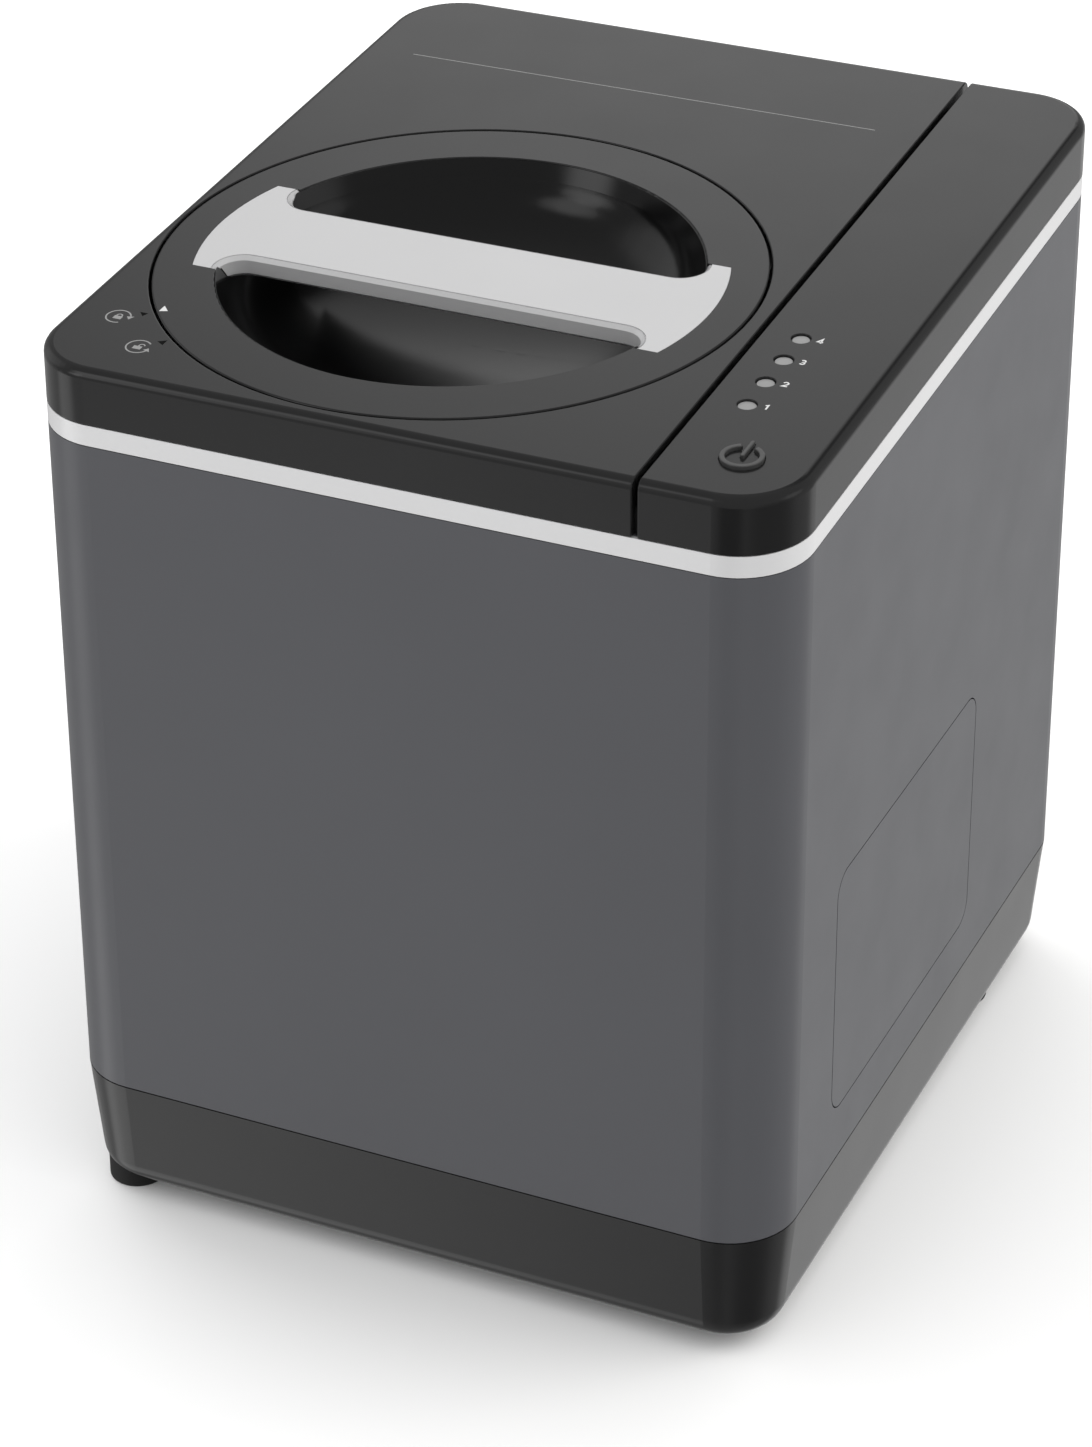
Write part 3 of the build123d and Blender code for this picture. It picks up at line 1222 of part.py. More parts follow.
# ==================================================================== bucket
FLOOR_R, HUB_R = BUCKET_R - 7.0, 25.0     # seams of the welded-in floor
with BuildPart() as bucket:
    # Turned profile: foot ring, wall, rim.
    with BuildSketch(Plane.XZ.offset(-AY)):
        with BuildLine():
            Polyline((AX + FLOOR_R, BUCKET_Z0), (AX + BUCKET_R - 6, BUCKET_Z0),
                     (AX + BUCKET_R, BUCKET_Z0 + 6), (AX + BUCKET_R, BUCKET_Z1 - 2.0), (AX + 88, BUCKET_Z1 - 2.0),
                     (AX + 88, BUCKET_Z1), (AX + BUCKET_R - BUCKET_T, BUCKET_Z1),
                     (AX + BUCKET_R - BUCKET_T, BUCKET_Z0 + 7), (AX + FLOOR_R, BUCKET_Z0 + 2.4), close=True)
        make_face()
    revolve(axis=Axis((AX, AY, 0), (0, 0, 1)), revolution_arc=360)
    # Ears for the bail.
    with BuildSketch(axis_plane(BUCKET_Z1 - 1.5)):
        with Locations((AX - 80.55, AY), (AX + 80.55, AY)):
            Rectangle(2.5, 11)
    extrude(amount=9.5)
    with BuildSketch(Plane.YZ.offset(AX - 90)):
        with Locations((AY, BAIL_Z)):
            Circle(2.06)
    extrude(amount=180, mode=Mode.SUBTRACT)
bucket.part.label = "bucket"
export_step(bucket.part, "parts/bucket.step")

with BuildPart() as breaker_bars:
    # Two fixed bars on the wall, which the rotor's arms sweep past.
    with BuildSketch(axis_plane(184)):
        with Locations((AX - 69, AY), (AX + 69, AY)):
            RectangleRounded(26, 9, 2)
        with Locations((AX, AY)):
            Circle(BUCKET_R - BUCKET_T, mode=Mode.INTERSECT)
    extrude(amount=8)
breaker_bars.part.label = "breaker_bars"
export_step(breaker_bars.part, "parts/breaker_bars.step")

with BuildPart() as bucket_floor:
    with BuildSketch(axis_plane(BUCKET_Z0)):
        with Locations((AX, AY)):
            Circle(FLOOR_R)
            Circle(HUB_R, mode=Mode.SUBTRACT)
    extrude(amount=2.4)
bucket_floor.part.label = "bucket_floor"
export_step(bucket_floor.part, "parts/bucket_floor.step")

with BuildPart() as bucket_hub:
    # Raised centre: a low cup turned upside down, over the coupling.
    with BuildSketch(Plane.XZ.offset(-AY)):
        with BuildLine():
            Polyline((AX + 9, 146), (AX + 22.5, 146), (AX + 22.5, BUCKET_Z0), (AX + HUB_R, BUCKET_Z0),
                     (AX + HUB_R, 148.4), (AX + 9, 148.4), close=True)
        make_face()
    revolve(axis=Axis((AX, AY, 0), (0, 0, 1)), revolution_arc=360)
bucket_hub.part.label = "bucket_hub"
export_step(bucket_hub.part, "parts/bucket_hub.step")

with BuildPart() as bucket_bail:
    # Half ring of wire lying on the rim, hinge pins turned inwards.
    with BuildSketch(Plane.XZ.offset(-AY)):
        with Locations((AX + BAIL_R, BAIL_Z)):
            Circle(BAIL_WIRE)
    revolve(axis=Axis((AX, AY, 0), (0, 0, 1)), revolution_arc=180)
    with Locations((AX - BAIL_R, AY, BAIL_Z), (AX + BAIL_R, AY, BAIL_Z)):
        Sphere(BAIL_WIRE)
    with BuildSketch(Plane.YZ.offset(AX + 77.5)):
        with Locations((AY, BAIL_Z)):
            Circle(2.0)
    extrude(amount=BAIL_R - 77.5)
    with BuildSketch(Plane.YZ.offset(AX - BAIL_R)):
        with Locations((AY, BAIL_Z)):
            Circle(2.0)
    extrude(amount=BAIL_R - 77.5)
bucket_bail.part.label = "bucket_bail"
export_step(bucket_bail.part, "parts/bucket_bail.step")

with BuildPart() as rotor_bushing:
    with BuildSketch(axis_plane(145.0)):
        with Locations((AX, AY)):
            Circle(9.0)
    extrude(amount=4)
    with BuildSketch(axis_plane(148.4)):
        with Locations((AX, AY)):
            Circle(12.5)
    extrude(amount=1.8)
    with BuildSketch(axis_plane(140)):
        with Locations((AX, AY)):
            Circle(5.06)
    extrude(amount=20, mode=Mode.SUBTRACT)
rotor_bushing.part.label = "rotor_bushing"
export_step(rotor_bushing.part, "parts/rotor_bushing.step")

with BuildPart() as grinder_rotor:
    with BuildSketch(axis_plane(141.0)):
        with Locations((AX, AY)):
            Circle(5.0)
    extrude(amount=13.5)
    with BuildSketch(axis_plane(150.5)):
        with Locations((AX, AY)):
            Circle(14)
    extrude(amount=29)
    fillet(grinder_rotor.faces().sort_by(Axis.Z)[-1].edges(), radius=5)
    # Two arms with heels that reach down beside the raised floor centre.
    for side in (1, -1):
        with BuildSketch(Plane.XZ.offset(-AY - 3.5)):
            with BuildLine():
                Polyline((AX + side * 8, 151.5), (AX + side * 8, 172), (AX + side * 34, 172), (AX + side * 62, 158),
                         (AX + side * 77, 155), (AX + side * 77, 143.0), (AX + side * 73, 137.0), (AX + side * 28, 137.0),
                         (AX + side * 28, 151.5), close=True)
            make_face()
        extrude(amount=7, both=False)
    # One raised tooth on each arm.
    with BuildSketch(axis_plane(154)):
        with Locations((AX + 44, AY), (AX - 36, AY)):
            Rectangle(6, 7)
    extrude(amount=27)
grinder_rotor.part.label = "grinder_rotor"
export_step(grinder_rotor.part, "parts/grinder_rotor.step")

with BuildPart() as rotor_coupling:
    with BuildSketch(axis_plane(133.0)):
        with Locations((AX, AY)):
            Circle(17)
    extrude(amount=11.5)
    with BuildSketch(axis_plane(132)):
        with Locations((AX, AY)):
            RegularPolygon(radius=10.35, side_count=6, major_radius=False)
    extrude(amount=8.6, mode=Mode.SUBTRACT)
    with BuildSketch(axis_plane(132)):
        with Locations((AX, AY)):
            Circle(5.0)
    extrude(amount=20, mode=Mode.SUBTRACT)
rotor_coupling.part.label = "rotor_coupling"
export_step(rotor_coupling.part, "parts/rotor_coupling.step")

# ======================================================================= lid
with BuildPart() as lid_cover:
    with BuildSketch(LID.offset(-3)):
        Circle(LID_R)
    extrude(amount=3)
    fillet(lid_cover.faces().sort_by(Axis.Z)[-1].edges(), radius=0.6)
    with BuildSketch(LID.offset(-12)):
        Circle(SKIRT_RO)
        Circle(SKIRT_RI, mode=Mode.SUBTRACT)
    extrude(amount=10)
    # Lugs that turn in the lock ring's pockets.
    for lug in LUG_A:
        with BuildSketch(LID.offset(-18)):
            with BuildLine():
                Polyline(*sector(130, lug - LUG_SPAN / 2, lug + LUG_SPAN / 2), close=True)
            make_face()
            Circle(SKIRT_RO, mode=Mode.INTERSECT)
            Circle(SKIRT_RI, mode=Mode.SUBTRACT)
        extrude(amount=8)
    # Hole for the finger bowl, with a rebate for its rim.
    with BuildSketch(LID.offset(-5)):
        Circle(BOWL_R)
    extrude(amount=10, mode=Mode.SUBTRACT)
    rim_edge = lid_cover.edges().filter_by(GeomType.CIRCLE).filter_by(
        lambda e: abs(e.radius - BOWL_R) < 0.01 and LID.to_local_coords(e.center()).Z > -0.5)
    fillet(rim_edge, radius=EDGE_R)
    # Rebates for the ends of the handle plate.
    with BuildSketch(LID.offset(-2.2)):
        Rectangle(260, 2 * PLATE_HALF + 0.3)
        Circle(PLATE_R + 0.15, mode=Mode.INTERSECT)
    extrude(amount=10, mode=Mode.SUBTRACT)
    # Screw holes under the plate.
    with BuildSketch(LID.offset(-5)):
        with GridLocations(178, 26, 2, 2):
            Circle(1.6)
    extrude(amount=5, mode=Mode.SUBTRACT)
lid_cover.part.label = "lid_cover"
export_step(lid_cover.part, "parts/lid_cover.step")

BOWL_T = 2.0
# The two finger openings, as tools with rounded inner corners: the openings
# themselves, the slightly smaller pair that keeps the bowl's lip, the bevel
# of the grip and the hairline that runs round it on the flat of the handle.
def opening_outline(side, grow, level):
    with BuildSketch(LID.offset(level)) as outline:
        with Locations((0, side * (BAR_HALF - grow + 60))):
            Rectangle(260, 120)
        Circle(BOWL_R + max(grow, 0), mode=Mode.INTERSECT)
        fillet(outline.vertices().sort_by(Axis.Y)[:2] if side == 1 else outline.vertices().sort_by(Axis.Y)[-2:], radius=9.0 + max(grow, 0))
    return outline.sketch

def finger_openings(grow, low, high):
    with BuildPart() as openings:
        for side in (1, -1):
            extrude(opening_outline(side, grow, low), amount=high - low)
    return openings.part

with BuildPart() as finger_bevel:
    for side in (1, -1):
        loft([opening_outline(side, 0, -GRIP_C), opening_outline(side, GRIP_C + 0.2, 0.2)], ruled=True)
    loft([opening_outline(-1, 0, GRIP_C - BAR_DEEP), opening_outline(-1, GRIP_C + 0.2, -BAR_DEEP - 0.2)], ruled=True)

with BuildPart() as finger_hairline:
    add(finger_openings(GRIP_C + 0.4, -0.45, 1))
    add(finger_openings(GRIP_C - 0.1, -1.45, 2), mode=Mode.SUBTRACT)

with BuildPart() as lip_relief:
    with BuildSketch(LID.offset(-2.35)):
        Rectangle(260, 2 * PLATE_HALF + 0.3)
    extrude(amount=10)
    add(finger_openings(-0.15, -4, 12), mode=Mode.SUBTRACT)

# Room inside the bowl for the bar, a little clear of the bowl's wall.
with BuildPart() as bar_room:
    with BuildSketch(Plane(origin=LID.origin, x_dir=(1, 0, 0), z_dir=(0, -ct, -st))):
        with BuildLine():
            Polyline((0, 1), (0, -BAR_DEEP), (82.2, -BAR_DEEP), (82.9, -6.6), (84.5, -2.3), (84.5, -2.2), (110, -2.2), (110, 1), close=True)
        make_face()
    revolve(axis=Axis(LID.origin, LID.z_dir), revolution_arc=360)

with BuildPart() as lid_bowl:
    # Turned bowl: steep wall, generous curve, gently dished floor, pivot below.
    with BuildSketch(Plane(origin=LID.origin, x_dir=(1, 0, 0), z_dir=(0, -ct, -st))):
        with BuildLine():
            l1 = Bezier((0, -30.9), (14, -30.9), (28, -30.36), (42, -28.75))
            l2 = Bezier((42, -28.75), (62, -26.45), (78.5, -22.3), (83.2, -6.5))
            l3 = Line((83.2, -6.5), (BOWL_R - 0.3, -0.4))
            l4 = Line((BOWL_R - 0.3, -0.4), (BOWL_R - 0.1, -0.4))
            l5 = Line((BOWL_R - 0.1, -0.4), (BOWL_R - 0.1, -3.2))
            l6 = Line((BOWL_R - 0.1, -3.2), (92.0, -3.2))
            l7 = Line((92.0, -3.2), (92.0, -5.0))
            l8 = Line((92.0, -5.0), (86.6, -5.0))
            l9 = Bezier((86.6, -5.0), (84.0, -24.0), (68, -30.3), (38, -31.2))
            l10 = Line((38, -31.2), (0, -32.0))
            l11 = Line((0, -32.0), (0, -30.9))
        make_face()
    revolve(axis=Axis(LID.origin, LID.z_dir), revolution_arc=360)
    with BuildSketch(LID.offset(-38.3)):
        Circle(9.0)
    extrude(amount=7)
    with BuildSketch(LID.offset(-39)):
        Circle(1.3)
    extrude(amount=6.5, mode=Mode.SUBTRACT)
    # The rim gives way to the handle plate.
    add(lip_relief.part, mode=Mode.SUBTRACT)
    # Clearance for the handle screws' heads.
    with BuildSketch(LID.offset(-8)):
        with GridLocations(178, 26, 2, 2):
            Circle(1.6)
    extrude(amount=10, mode=Mode.SUBTRACT)
lid_bowl.part.label = "lid_bowl"
export_step(lid_bowl.part, "parts/lid_bowl.step")

with BuildPart() as lid_handle:
    # Flush end plates.
    with BuildSketch(LID.offset(-2.2)):
        Rectangle(260, 2 * PLATE_HALF)
        Circle(PLATE_R, mode=Mode.INTERSECT)
    extrude(amount=2.2)
    # The bar with its flared ends, over the bowl.
    with BuildSketch(LID.offset(-BAR_DEEP)):
        Rectangle(260, 2 * PLATE_HALF)
        Circle(BOWL_R, mode=Mode.INTERSECT)
    extrude(amount=BAR_DEEP)
    add(bar_room.part, mode=Mode.INTERSECT)
with BuildPart() as handle_done:
    add(lid_handle.part)
    # Ridge for the fingertips along the far edge of the grip's underside.
    with Locations((LID_X, LID_Y + 16, 344.1)):
        Box(120, 20, 3.9)
    add(finger_openings(0, -BAR_DEEP - 6, 2), mode=Mode.SUBTRACT)
    # The grip is bevelled along both finger openings.
    add(finger_bevel.part, mode=Mode.SUBTRACT)
    add(finger_hairline.part, mode=Mode.SUBTRACT)
    with BuildSketch(LID.offset(-3)):
        with GridLocations(178, 26, 2, 2):
            Circle(1.0)
    extrude(amount=2.2, mode=Mode.SUBTRACT)
handle_done.part.label = "lid_handle"
export_step(handle_done.part, "parts/lid_handle.step")

with BuildPart() as handle_screws:
    with BuildSketch(LID.offset(-6.7)):
        with GridLocations(178, 26, 2, 2):
            Circle(2.6)
    extrude(amount=1.6)
    with BuildSketch(LID.offset(-5.2)):
        with GridLocations(178, 26, 2, 2):
            Circle(0.95)
    extrude(amount=4.2)
handle_screws.part.label = "handle_screws"
export_step(handle_screws.part, "parts/handle_screws.step")

with BuildPart() as lid_liner:
    # Turned dish that closes the well; it does not turn with the cover.
    with BuildSketch(Plane(origin=LID.origin, x_dir=(1, 0, 0), z_dir=(0, -ct, -st))):
        with BuildLine():
            Polyline((9.06, -37.9), (9.06, -33.4), (14, -33.4), (14, -35.6), (80, -35.6), (90, -30), (93.6, -14.5),
                     (101.2, -14.5), (101.2, -16.6), (95.8, -16.6), (94.6, -22.0), (91.2, -31), (82, -38.0), (14, -38.0), close=True)
        make_face()
    revolve(axis=Axis(LID.origin, LID.z_dir), revolution_arc=360)
lid_liner.part.label = "lid_liner"
export_step(lid_liner.part, "parts/lid_liner.step")

with BuildPart() as lid_gasket:
    with BuildSketch(Plane(origin=LID.origin, x_dir=(1, 0, 0), z_dir=(0, -ct, -st))):
        with BuildLine():
            Polyline((96.4, -16.6), (101.2, -16.6), (101.2, -19.2), (99.4, -19.8), (97.2, -19.2), (96.4, -18.4), close=True)
        make_face()
    revolve(axis=Axis(LID.origin, LID.z_dir), revolution_arc=360)
lid_gasket.part.label = "lid_gasket"
export_step(lid_gasket.part, "parts/lid_gasket.step")

with BuildPart() as lid_retainer:
    with BuildSketch(LID.offset(-40.3)):
        Circle(16)
    extrude(amount=2.0)
    with BuildSketch(LID.offset(-41.9)):
        Circle(4)
    extrude(amount=1.7)
    with BuildSketch(LID.offset(-38.4)):
        Circle(1.25)
    extrude(amount=5.5)
lid_retainer.part.label = "lid_retainer"
export_step(lid_retainer.part, "parts/lid_retainer.step")
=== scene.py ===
import math
import bmesh
import bpy
from mathutils import Matrix, Vector


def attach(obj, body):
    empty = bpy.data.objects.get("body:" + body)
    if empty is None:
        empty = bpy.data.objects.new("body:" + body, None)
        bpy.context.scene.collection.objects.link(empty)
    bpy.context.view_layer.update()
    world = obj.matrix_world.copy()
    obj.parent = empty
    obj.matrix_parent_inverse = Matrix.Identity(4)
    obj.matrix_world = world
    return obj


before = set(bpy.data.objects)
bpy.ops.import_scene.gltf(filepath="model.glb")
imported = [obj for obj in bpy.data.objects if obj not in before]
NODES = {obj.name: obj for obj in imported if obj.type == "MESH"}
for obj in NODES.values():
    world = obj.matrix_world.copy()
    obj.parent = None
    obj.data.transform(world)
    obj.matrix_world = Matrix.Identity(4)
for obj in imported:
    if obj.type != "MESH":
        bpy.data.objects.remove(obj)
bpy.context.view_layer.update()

sc = bpy.context.scene

# ------------------------------------------------------------------ camera
AZ, EL, ROLL = math.radians(23.88), math.radians(28.43), math.radians(-0.05)
back = Vector((math.sin(AZ) * math.cos(EL), -math.cos(AZ) * math.cos(EL), math.sin(EL)))
right = Vector((math.cos(AZ), math.sin(AZ), 0.0))
up = back.cross(right)
r2 = right * math.cos(ROLL) + up * math.sin(ROLL)
u2 = up * math.cos(ROLL) - right * math.sin(ROLL)
cam_data = bpy.data.cameras.new("camera")
cam_data.lens = 109.23
cam_data.sensor_width = 36.0
cam_data.shift_x, cam_data.shift_y = -0.0258, -0.1042
cam_data.clip_start, cam_data.clip_end = 0.05, 100.0
cam = bpy.data.objects.new("camera", cam_data)
sc.collection.objects.link(cam)
cam.matrix_world = Matrix((
    (r2.x, u2.x, back.x, 0.57733),
    (r2.y, u2.y, back.y, -1.30625),
    (r2.z, u2.z, back.z, 0.98660),
    (0, 0, 0, 1)))
sc.camera = cam

sc.view_settings.view_transform = "Standard"
sc.view_settings.look = "None"


# --------------------------------------------------------------- materials
def lin(v):
    v = v / 255.0
    return v / 12.92 if v <= 0.04045 else ((v + 0.055) / 1.055) ** 2.4


def rgb(*v):
    if len(v) == 1:
        v = (v[0],) * 3
    return (lin(v[0]), lin(v[1]), lin(v[2]), 1.0)


class Nodes:
    """A small helper round one material's node tree."""

    def __init__(self, name):
        self.mat = bpy.data.materials.new(name)
        self.mat.use_nodes = True
        self.t = self.mat.node_tree
        self.t.nodes.clear()
        self.out = self.add("ShaderNodeOutputMaterial")
        self.p = self.add("ShaderNodeBsdfPrincipled")
        self.link(self.p.outputs[0], self.out.inputs[0])
        self.obj = self.add("ShaderNodeTexCoord").outputs["Object"]

    def add(self, kind, **kw):
        n = self.t.nodes.new(kind)
        for k, v in kw.items():
            setattr(n, k, v)
        return n

    def link(self, a, b):
        self.t.links.new(a, b)

    def scaled(self, scale, rot=(0, 0, 0), loc=(0, 0, 0), src=None):
        m = self.add("ShaderNodeMapping")
        m.inputs["Scale"].default_value = scale if hasattr(scale, "__len__") else (scale,) * 3
        m.inputs["Rotation"].default_value = rot
        m.inputs["Location"].default_value = loc
        self.link(src or self.obj, m.inputs["Vector"])
        return m.outputs[0]

    def noise(self, scale, detail=2.0, rough=0.5, vec=None, dist=0.0):
        n = self.add("ShaderNodeTexNoise")
        n.inputs["Scale"].default_value = scale
        n.inputs["Detail"].default_value = detail
        n.inputs["Roughness"].default_value = rough
        n.inputs["Distortion"].default_value = dist
        self.link(vec or self.obj, n.inputs["Vector"])
        return n.outputs["Fac"]

    def voronoi(self, scale, vec=None, feature="F1", randomness=1.0, out="Distance"):
        n = self.add("ShaderNodeTexVoronoi", feature=feature)
        n.inputs["Scale"].default_value = scale
        n.inputs["Randomness"].default_value = randomness
        self.link(vec or self.obj, n.inputs["Vector"])
        return n.outputs[out]

    def span(self, src, a, b, c, d, smooth=False):
        m = self.add("ShaderNodeMapRange")
        if smooth:
            m.interpolation_type = "SMOOTHSTEP"
        for i, v in zip(("From Min", "From Max", "To Min", "To Max"), (a, b, c, d)):
            m.inputs[i].default_value = v
        self.link(src, m.inputs["Value"])
        return m.outputs[0]

    def math(self, op, a, b=None, c=None):
        m = self.add("ShaderNodeMath", operation=op)
        for i, v in enumerate((a, b, c)):
            if v is None:
                continue
            if isinstance(v, (int, float)):
                m.inputs[i].default_value = v
            else:
                self.link(v, m.inputs[i])
        return m.outputs[0]

    def mix(self, fac, a, b, blend="MIX"):
        m = self.add("ShaderNodeMix", data_type="RGBA", blend_type=blend)
        for sock, v in ((0, fac), (6, a), (7, b)):
            if hasattr(v, "is_linked") or hasattr(v, "links"):
                self.link(v, m.inputs[sock])
            else:
                m.inputs[sock].default_value = v
        return m.outputs[2]

    def bump(self, height, strength=1.0, distance=0.00005, normal=None):
        b = self.add("ShaderNodeBump")
        b.inputs["Strength"].default_value = strength
        b.inputs["Distance"].default_value = distance
        self.link(height, b.inputs["Height"])
        if normal is not None:
            self.link(normal, b.inputs["Normal"])
        return b.outputs[0]

    def set(self, **kw):
        for k, v in kw.items():
            self.p.inputs[k.replace("_", " ")].default_value = v


def shade(col, f):
    return (col[0] * f, col[1] * f, col[2] * f, 1.0)


def moulded(name, col, rough=0.35, grain=900.0, depth=0.000006, tint=0.04, spec=0.5, rv=0.04, coat=0.0, coat_rough=0.1, metal=0.0):
    """Moulded or painted plastic: slow colour drift, fine grain and a roughness that wanders a little."""
    n = Nodes(name)
    n.set(Metallic=metal, Coat_Weight=coat, Coat_Roughness=coat_rough)
    n.p.inputs["Specular IOR Level"].default_value = spec
    slow = n.noise(9.0, 3.0, 0.55)
    n.link(n.mix(n.span(slow, 0.3, 0.7, 0.0, 1.0), shade(col, 1 - tint), shade(col, 1 + tint)), n.p.inputs["Base Color"])
    n.link(n.span(n.noise(34.0, 3.0), 0.3, 0.7, rough - rv, rough + rv), n.p.inputs["Roughness"])
    n.link(n.bump(n.noise(grain, 2.0, 0.6), 1.0, depth), n.p.inputs["Normal"])
    return n.mat


def metal(name, col, rough=0.3, stretch=(1, 1, 1), scale=600.0, depth=0.000006, tint=0.06, rv=0.06, aniso=0.0):
    """Bare metal, with drawn or rolled marks along one axis where stretch is uneven."""
    n = Nodes(name)
    n.set(Metallic=1.0)
    if aniso:
        n.set(Anisotropic=aniso)
    v = n.scaled(stretch)
    marks = n.noise(scale, 3.0, 0.6, v)
    n.link(n.mix(n.span(n.noise(14.0, 4.0, 0.6), 0.3, 0.7, 0, 1), shade(col, 1 - tint), shade(col, 1 + tint)), n.p.inputs["Base Color"])
    n.link(n.span(marks, 0.3, 0.7, rough - rv, rough + rv), n.p.inputs["Roughness"])
    n.link(n.bump(marks, 1.0, depth), n.p.inputs["Normal"])
    return n.mat


SHELL = moulded("shell_paint", (0.0700, 0.0712, 0.0785, 1), rough=0.33, grain=1100, depth=0.000003, tint=0.02, rv=0.02)
DECK = moulded("deck_plastic", (0.0108, 0.0108, 0.0110, 1), rough=0.17, grain=1300, depth=0.000003, tint=0.03, rv=0.02)
BASE = moulded("base_plastic", (0.0098, 0.0098, 0.0100, 1), rough=0.19, grain=1300, depth=0.000002, tint=0.03, rv=0.02)
SILVER = moulded("silver_paint", (0.55, 0.55, 0.555, 1), rough=0.34, grain=1500, depth=0.000002, tint=0.01, rv=0.02, metal=0.30)
# The power button is the deck plastic made lighter: a painted highlight standing in for the light its raised ring
# catches.
BUTTON_PAINTED_HIGHLIGHT = moulded("button_plastic_painted_highlight", (0.048, 0.048, 0.048, 1), rough=0.24, grain=1300, depth=0.000002, tint=0.03, rv=0.02)
# The trim band is the handle's silver paint made brighter: a painted reflection standing in for the sheen the band
# catches.
TRIM_PAINTED_SHEEN = moulded("trim_paint_painted_sheen", (0.69, 0.69, 0.695, 1), rough=0.34, grain=1500, depth=0.000002, tint=0.01, rv=0.02, metal=0.30)
BOWL = moulded("bowl_gloss", (0.0020, 0.0020, 0.0021, 1), rough=0.15, grain=800, depth=0.0000008, tint=0.04, rv=0.015)
LENS = moulded("lens_diffuser", (0.24, 0.24, 0.24, 1), rough=0.3, tint=0.02, depth=0.000001)
RUBBER = moulded("rubber", (0.012, 0.012, 0.012, 1), rough=0.68, grain=700, depth=0.00002, tint=0.1, spec=0.3)
SEAL = moulded("silicone_seal", (0.30, 0.30, 0.29, 1), rough=0.55, grain=500, depth=0.00001, tint=0.04)
BLACK = moulded("black_plastic", (0.018, 0.018, 0.019, 1), rough=0.48, grain=900, depth=0.00002, tint=0.08)
NYLON = moulded("gearbox_nylon", (0.045, 0.045, 0.048, 1), rough=0.5, grain=700, depth=0.00002, tint=0.08)
DARKPART = moulded("component_dark", (0.02, 0.02, 0.022, 1), rough=0.42, grain=900, depth=0.00001)
STEEL = metal("brushed_steel", (0.56, 0.56, 0.57, 1), rough=0.30, stretch=(1, 1, 0.06), scale=1500)
ZINC = metal("zinc_plate", (0.62, 0.63, 0.66, 1), rough=0.42, scale=300, tint=0.1, rv=0.1)
ALU = metal("cast_aluminium", (0.60, 0.60, 0.61, 1), rough=0.46, scale=900, depth=0.00002)
BRONZE = metal("sintered_bronze", (0.45, 0.28, 0.14, 1), rough=0.45, scale=1400, depth=0.00001)


def coated_bucket():
    """Aluminium with a dark speckled non-stick coating."""
    n = Nodes("bucket_coating")
    n.set(Metallic=0.0, Coat_Weight=0.25, Coat_Roughness=0.2)
    speck = n.span(n.voronoi(620.0), 0.0, 0.16, 1.0, 0.0, True)
    pick = n.span(n.noise(520.0, 1.0), 0.52, 0.6, 0.0, 1.0, True)
    fac = n.math("MULTIPLY", speck, pick)
    body = n.mix(n.span(n.noise(12.0, 3.0), 0.3, 0.7, 0, 1), (0.030, 0.030, 0.031, 1), (0.037, 0.037, 0.038, 1))
    n.link(n.mix(fac, body, (0.20, 0.20, 0.20, 1)), n.p.inputs["Base Color"])
    n.link(n.span(n.noise(60.0, 3.0), 0.3, 0.7, 0.36, 0.46), n.p.inputs["Roughness"])
    n.link(n.bump(n.noise(800.0, 3.0, 0.6), 1.0, 0.00003), n.p.inputs["Normal"])
    return n.mat


def circuit():
    """Green board with lighter copper runs under the lacquer."""
    n = Nodes("circuit_board")
    n.set(Coat_Weight=0.4, Coat_Roughness=0.15)
    b = n.add("ShaderNodeTexBrick")
    b.inputs["Scale"].default_value = 60.0
    b.inputs["Mortar Size"].default_value = 0.025
    b.inputs["Color1"].default_value = (0.010, 0.060, 0.022, 1)
    b.inputs["Color2"].default_value = (0.012, 0.070, 0.026, 1)
    b.inputs["Mortar"].default_value = (0.035, 0.16, 0.06, 1)
    n.link(n.obj, b.inputs["Vector"])
    pads = n.span(n.voronoi(260.0, randomness=0.3), 0.0, 0.22, 1.0, 0.0, True)
    n.link(n.mix(n.math("MULTIPLY", pads, n.span(n.noise(45.0), 0.5, 0.56, 0, 1)), b.outputs["Color"], (0.55, 0.52, 0.46, 1)), n.p.inputs["Base Color"])
    n.link(n.span(n.noise(90.0), 0.3, 0.7, 0.3, 0.42), n.p.inputs["Roughness"])
    n.link(n.bump(b.outputs["Fac"], 1.0, 0.00003), n.p.inputs["Normal"])
    return n.mat


def wool():
    """Pressed glass-wool insulation."""
    n = Nodes("insulation_wool")
    n.set(Roughness=0.95, Sheen_Weight=0.3, Sheen_Roughness=0.6)
    fib = n.noise(420.0, 6.0, 0.7, n.scaled((1.0, 1.0, 0.25)), 1.5)
    n.link(n.mix(n.span(fib, 0.3, 0.7, 0, 1), (0.42, 0.38, 0.28, 1), (0.62, 0.58, 0.46, 1)), n.p.inputs["Base Color"])
    n.link(n.bump(fib, 1.0, 0.0006), n.p.inputs["Normal"])
    return n.mat


def carbon():
    """Cartridge case with a field of round holes over dark granules."""
    n = Nodes("filter_case")
    v = n.voronoi(290.0, randomness=0.0, vec=n.scaled((1, 1, 1), rot=(0.0, 0.0, 0.0)))
    hole = n.span(v, 0.26, 0.34, 1.0, 0.0, True)
    gran = n.noise(900.0, 4.0, 0.7)
    n.link(n.mix(hole, (0.055, 0.055, 0.057, 1), n.mix(gran, (0.002, 0.002, 0.002, 1), (0.02, 0.02, 0.02, 1))), n.p.inputs["Base Color"])
    n.link(n.span(gran, 0.3, 0.7, 0.4, 0.6), n.p.inputs["Roughness"])
    n.link(n.bump(hole, 1.0, -0.0006), n.p.inputs["Normal"])
    return n.mat


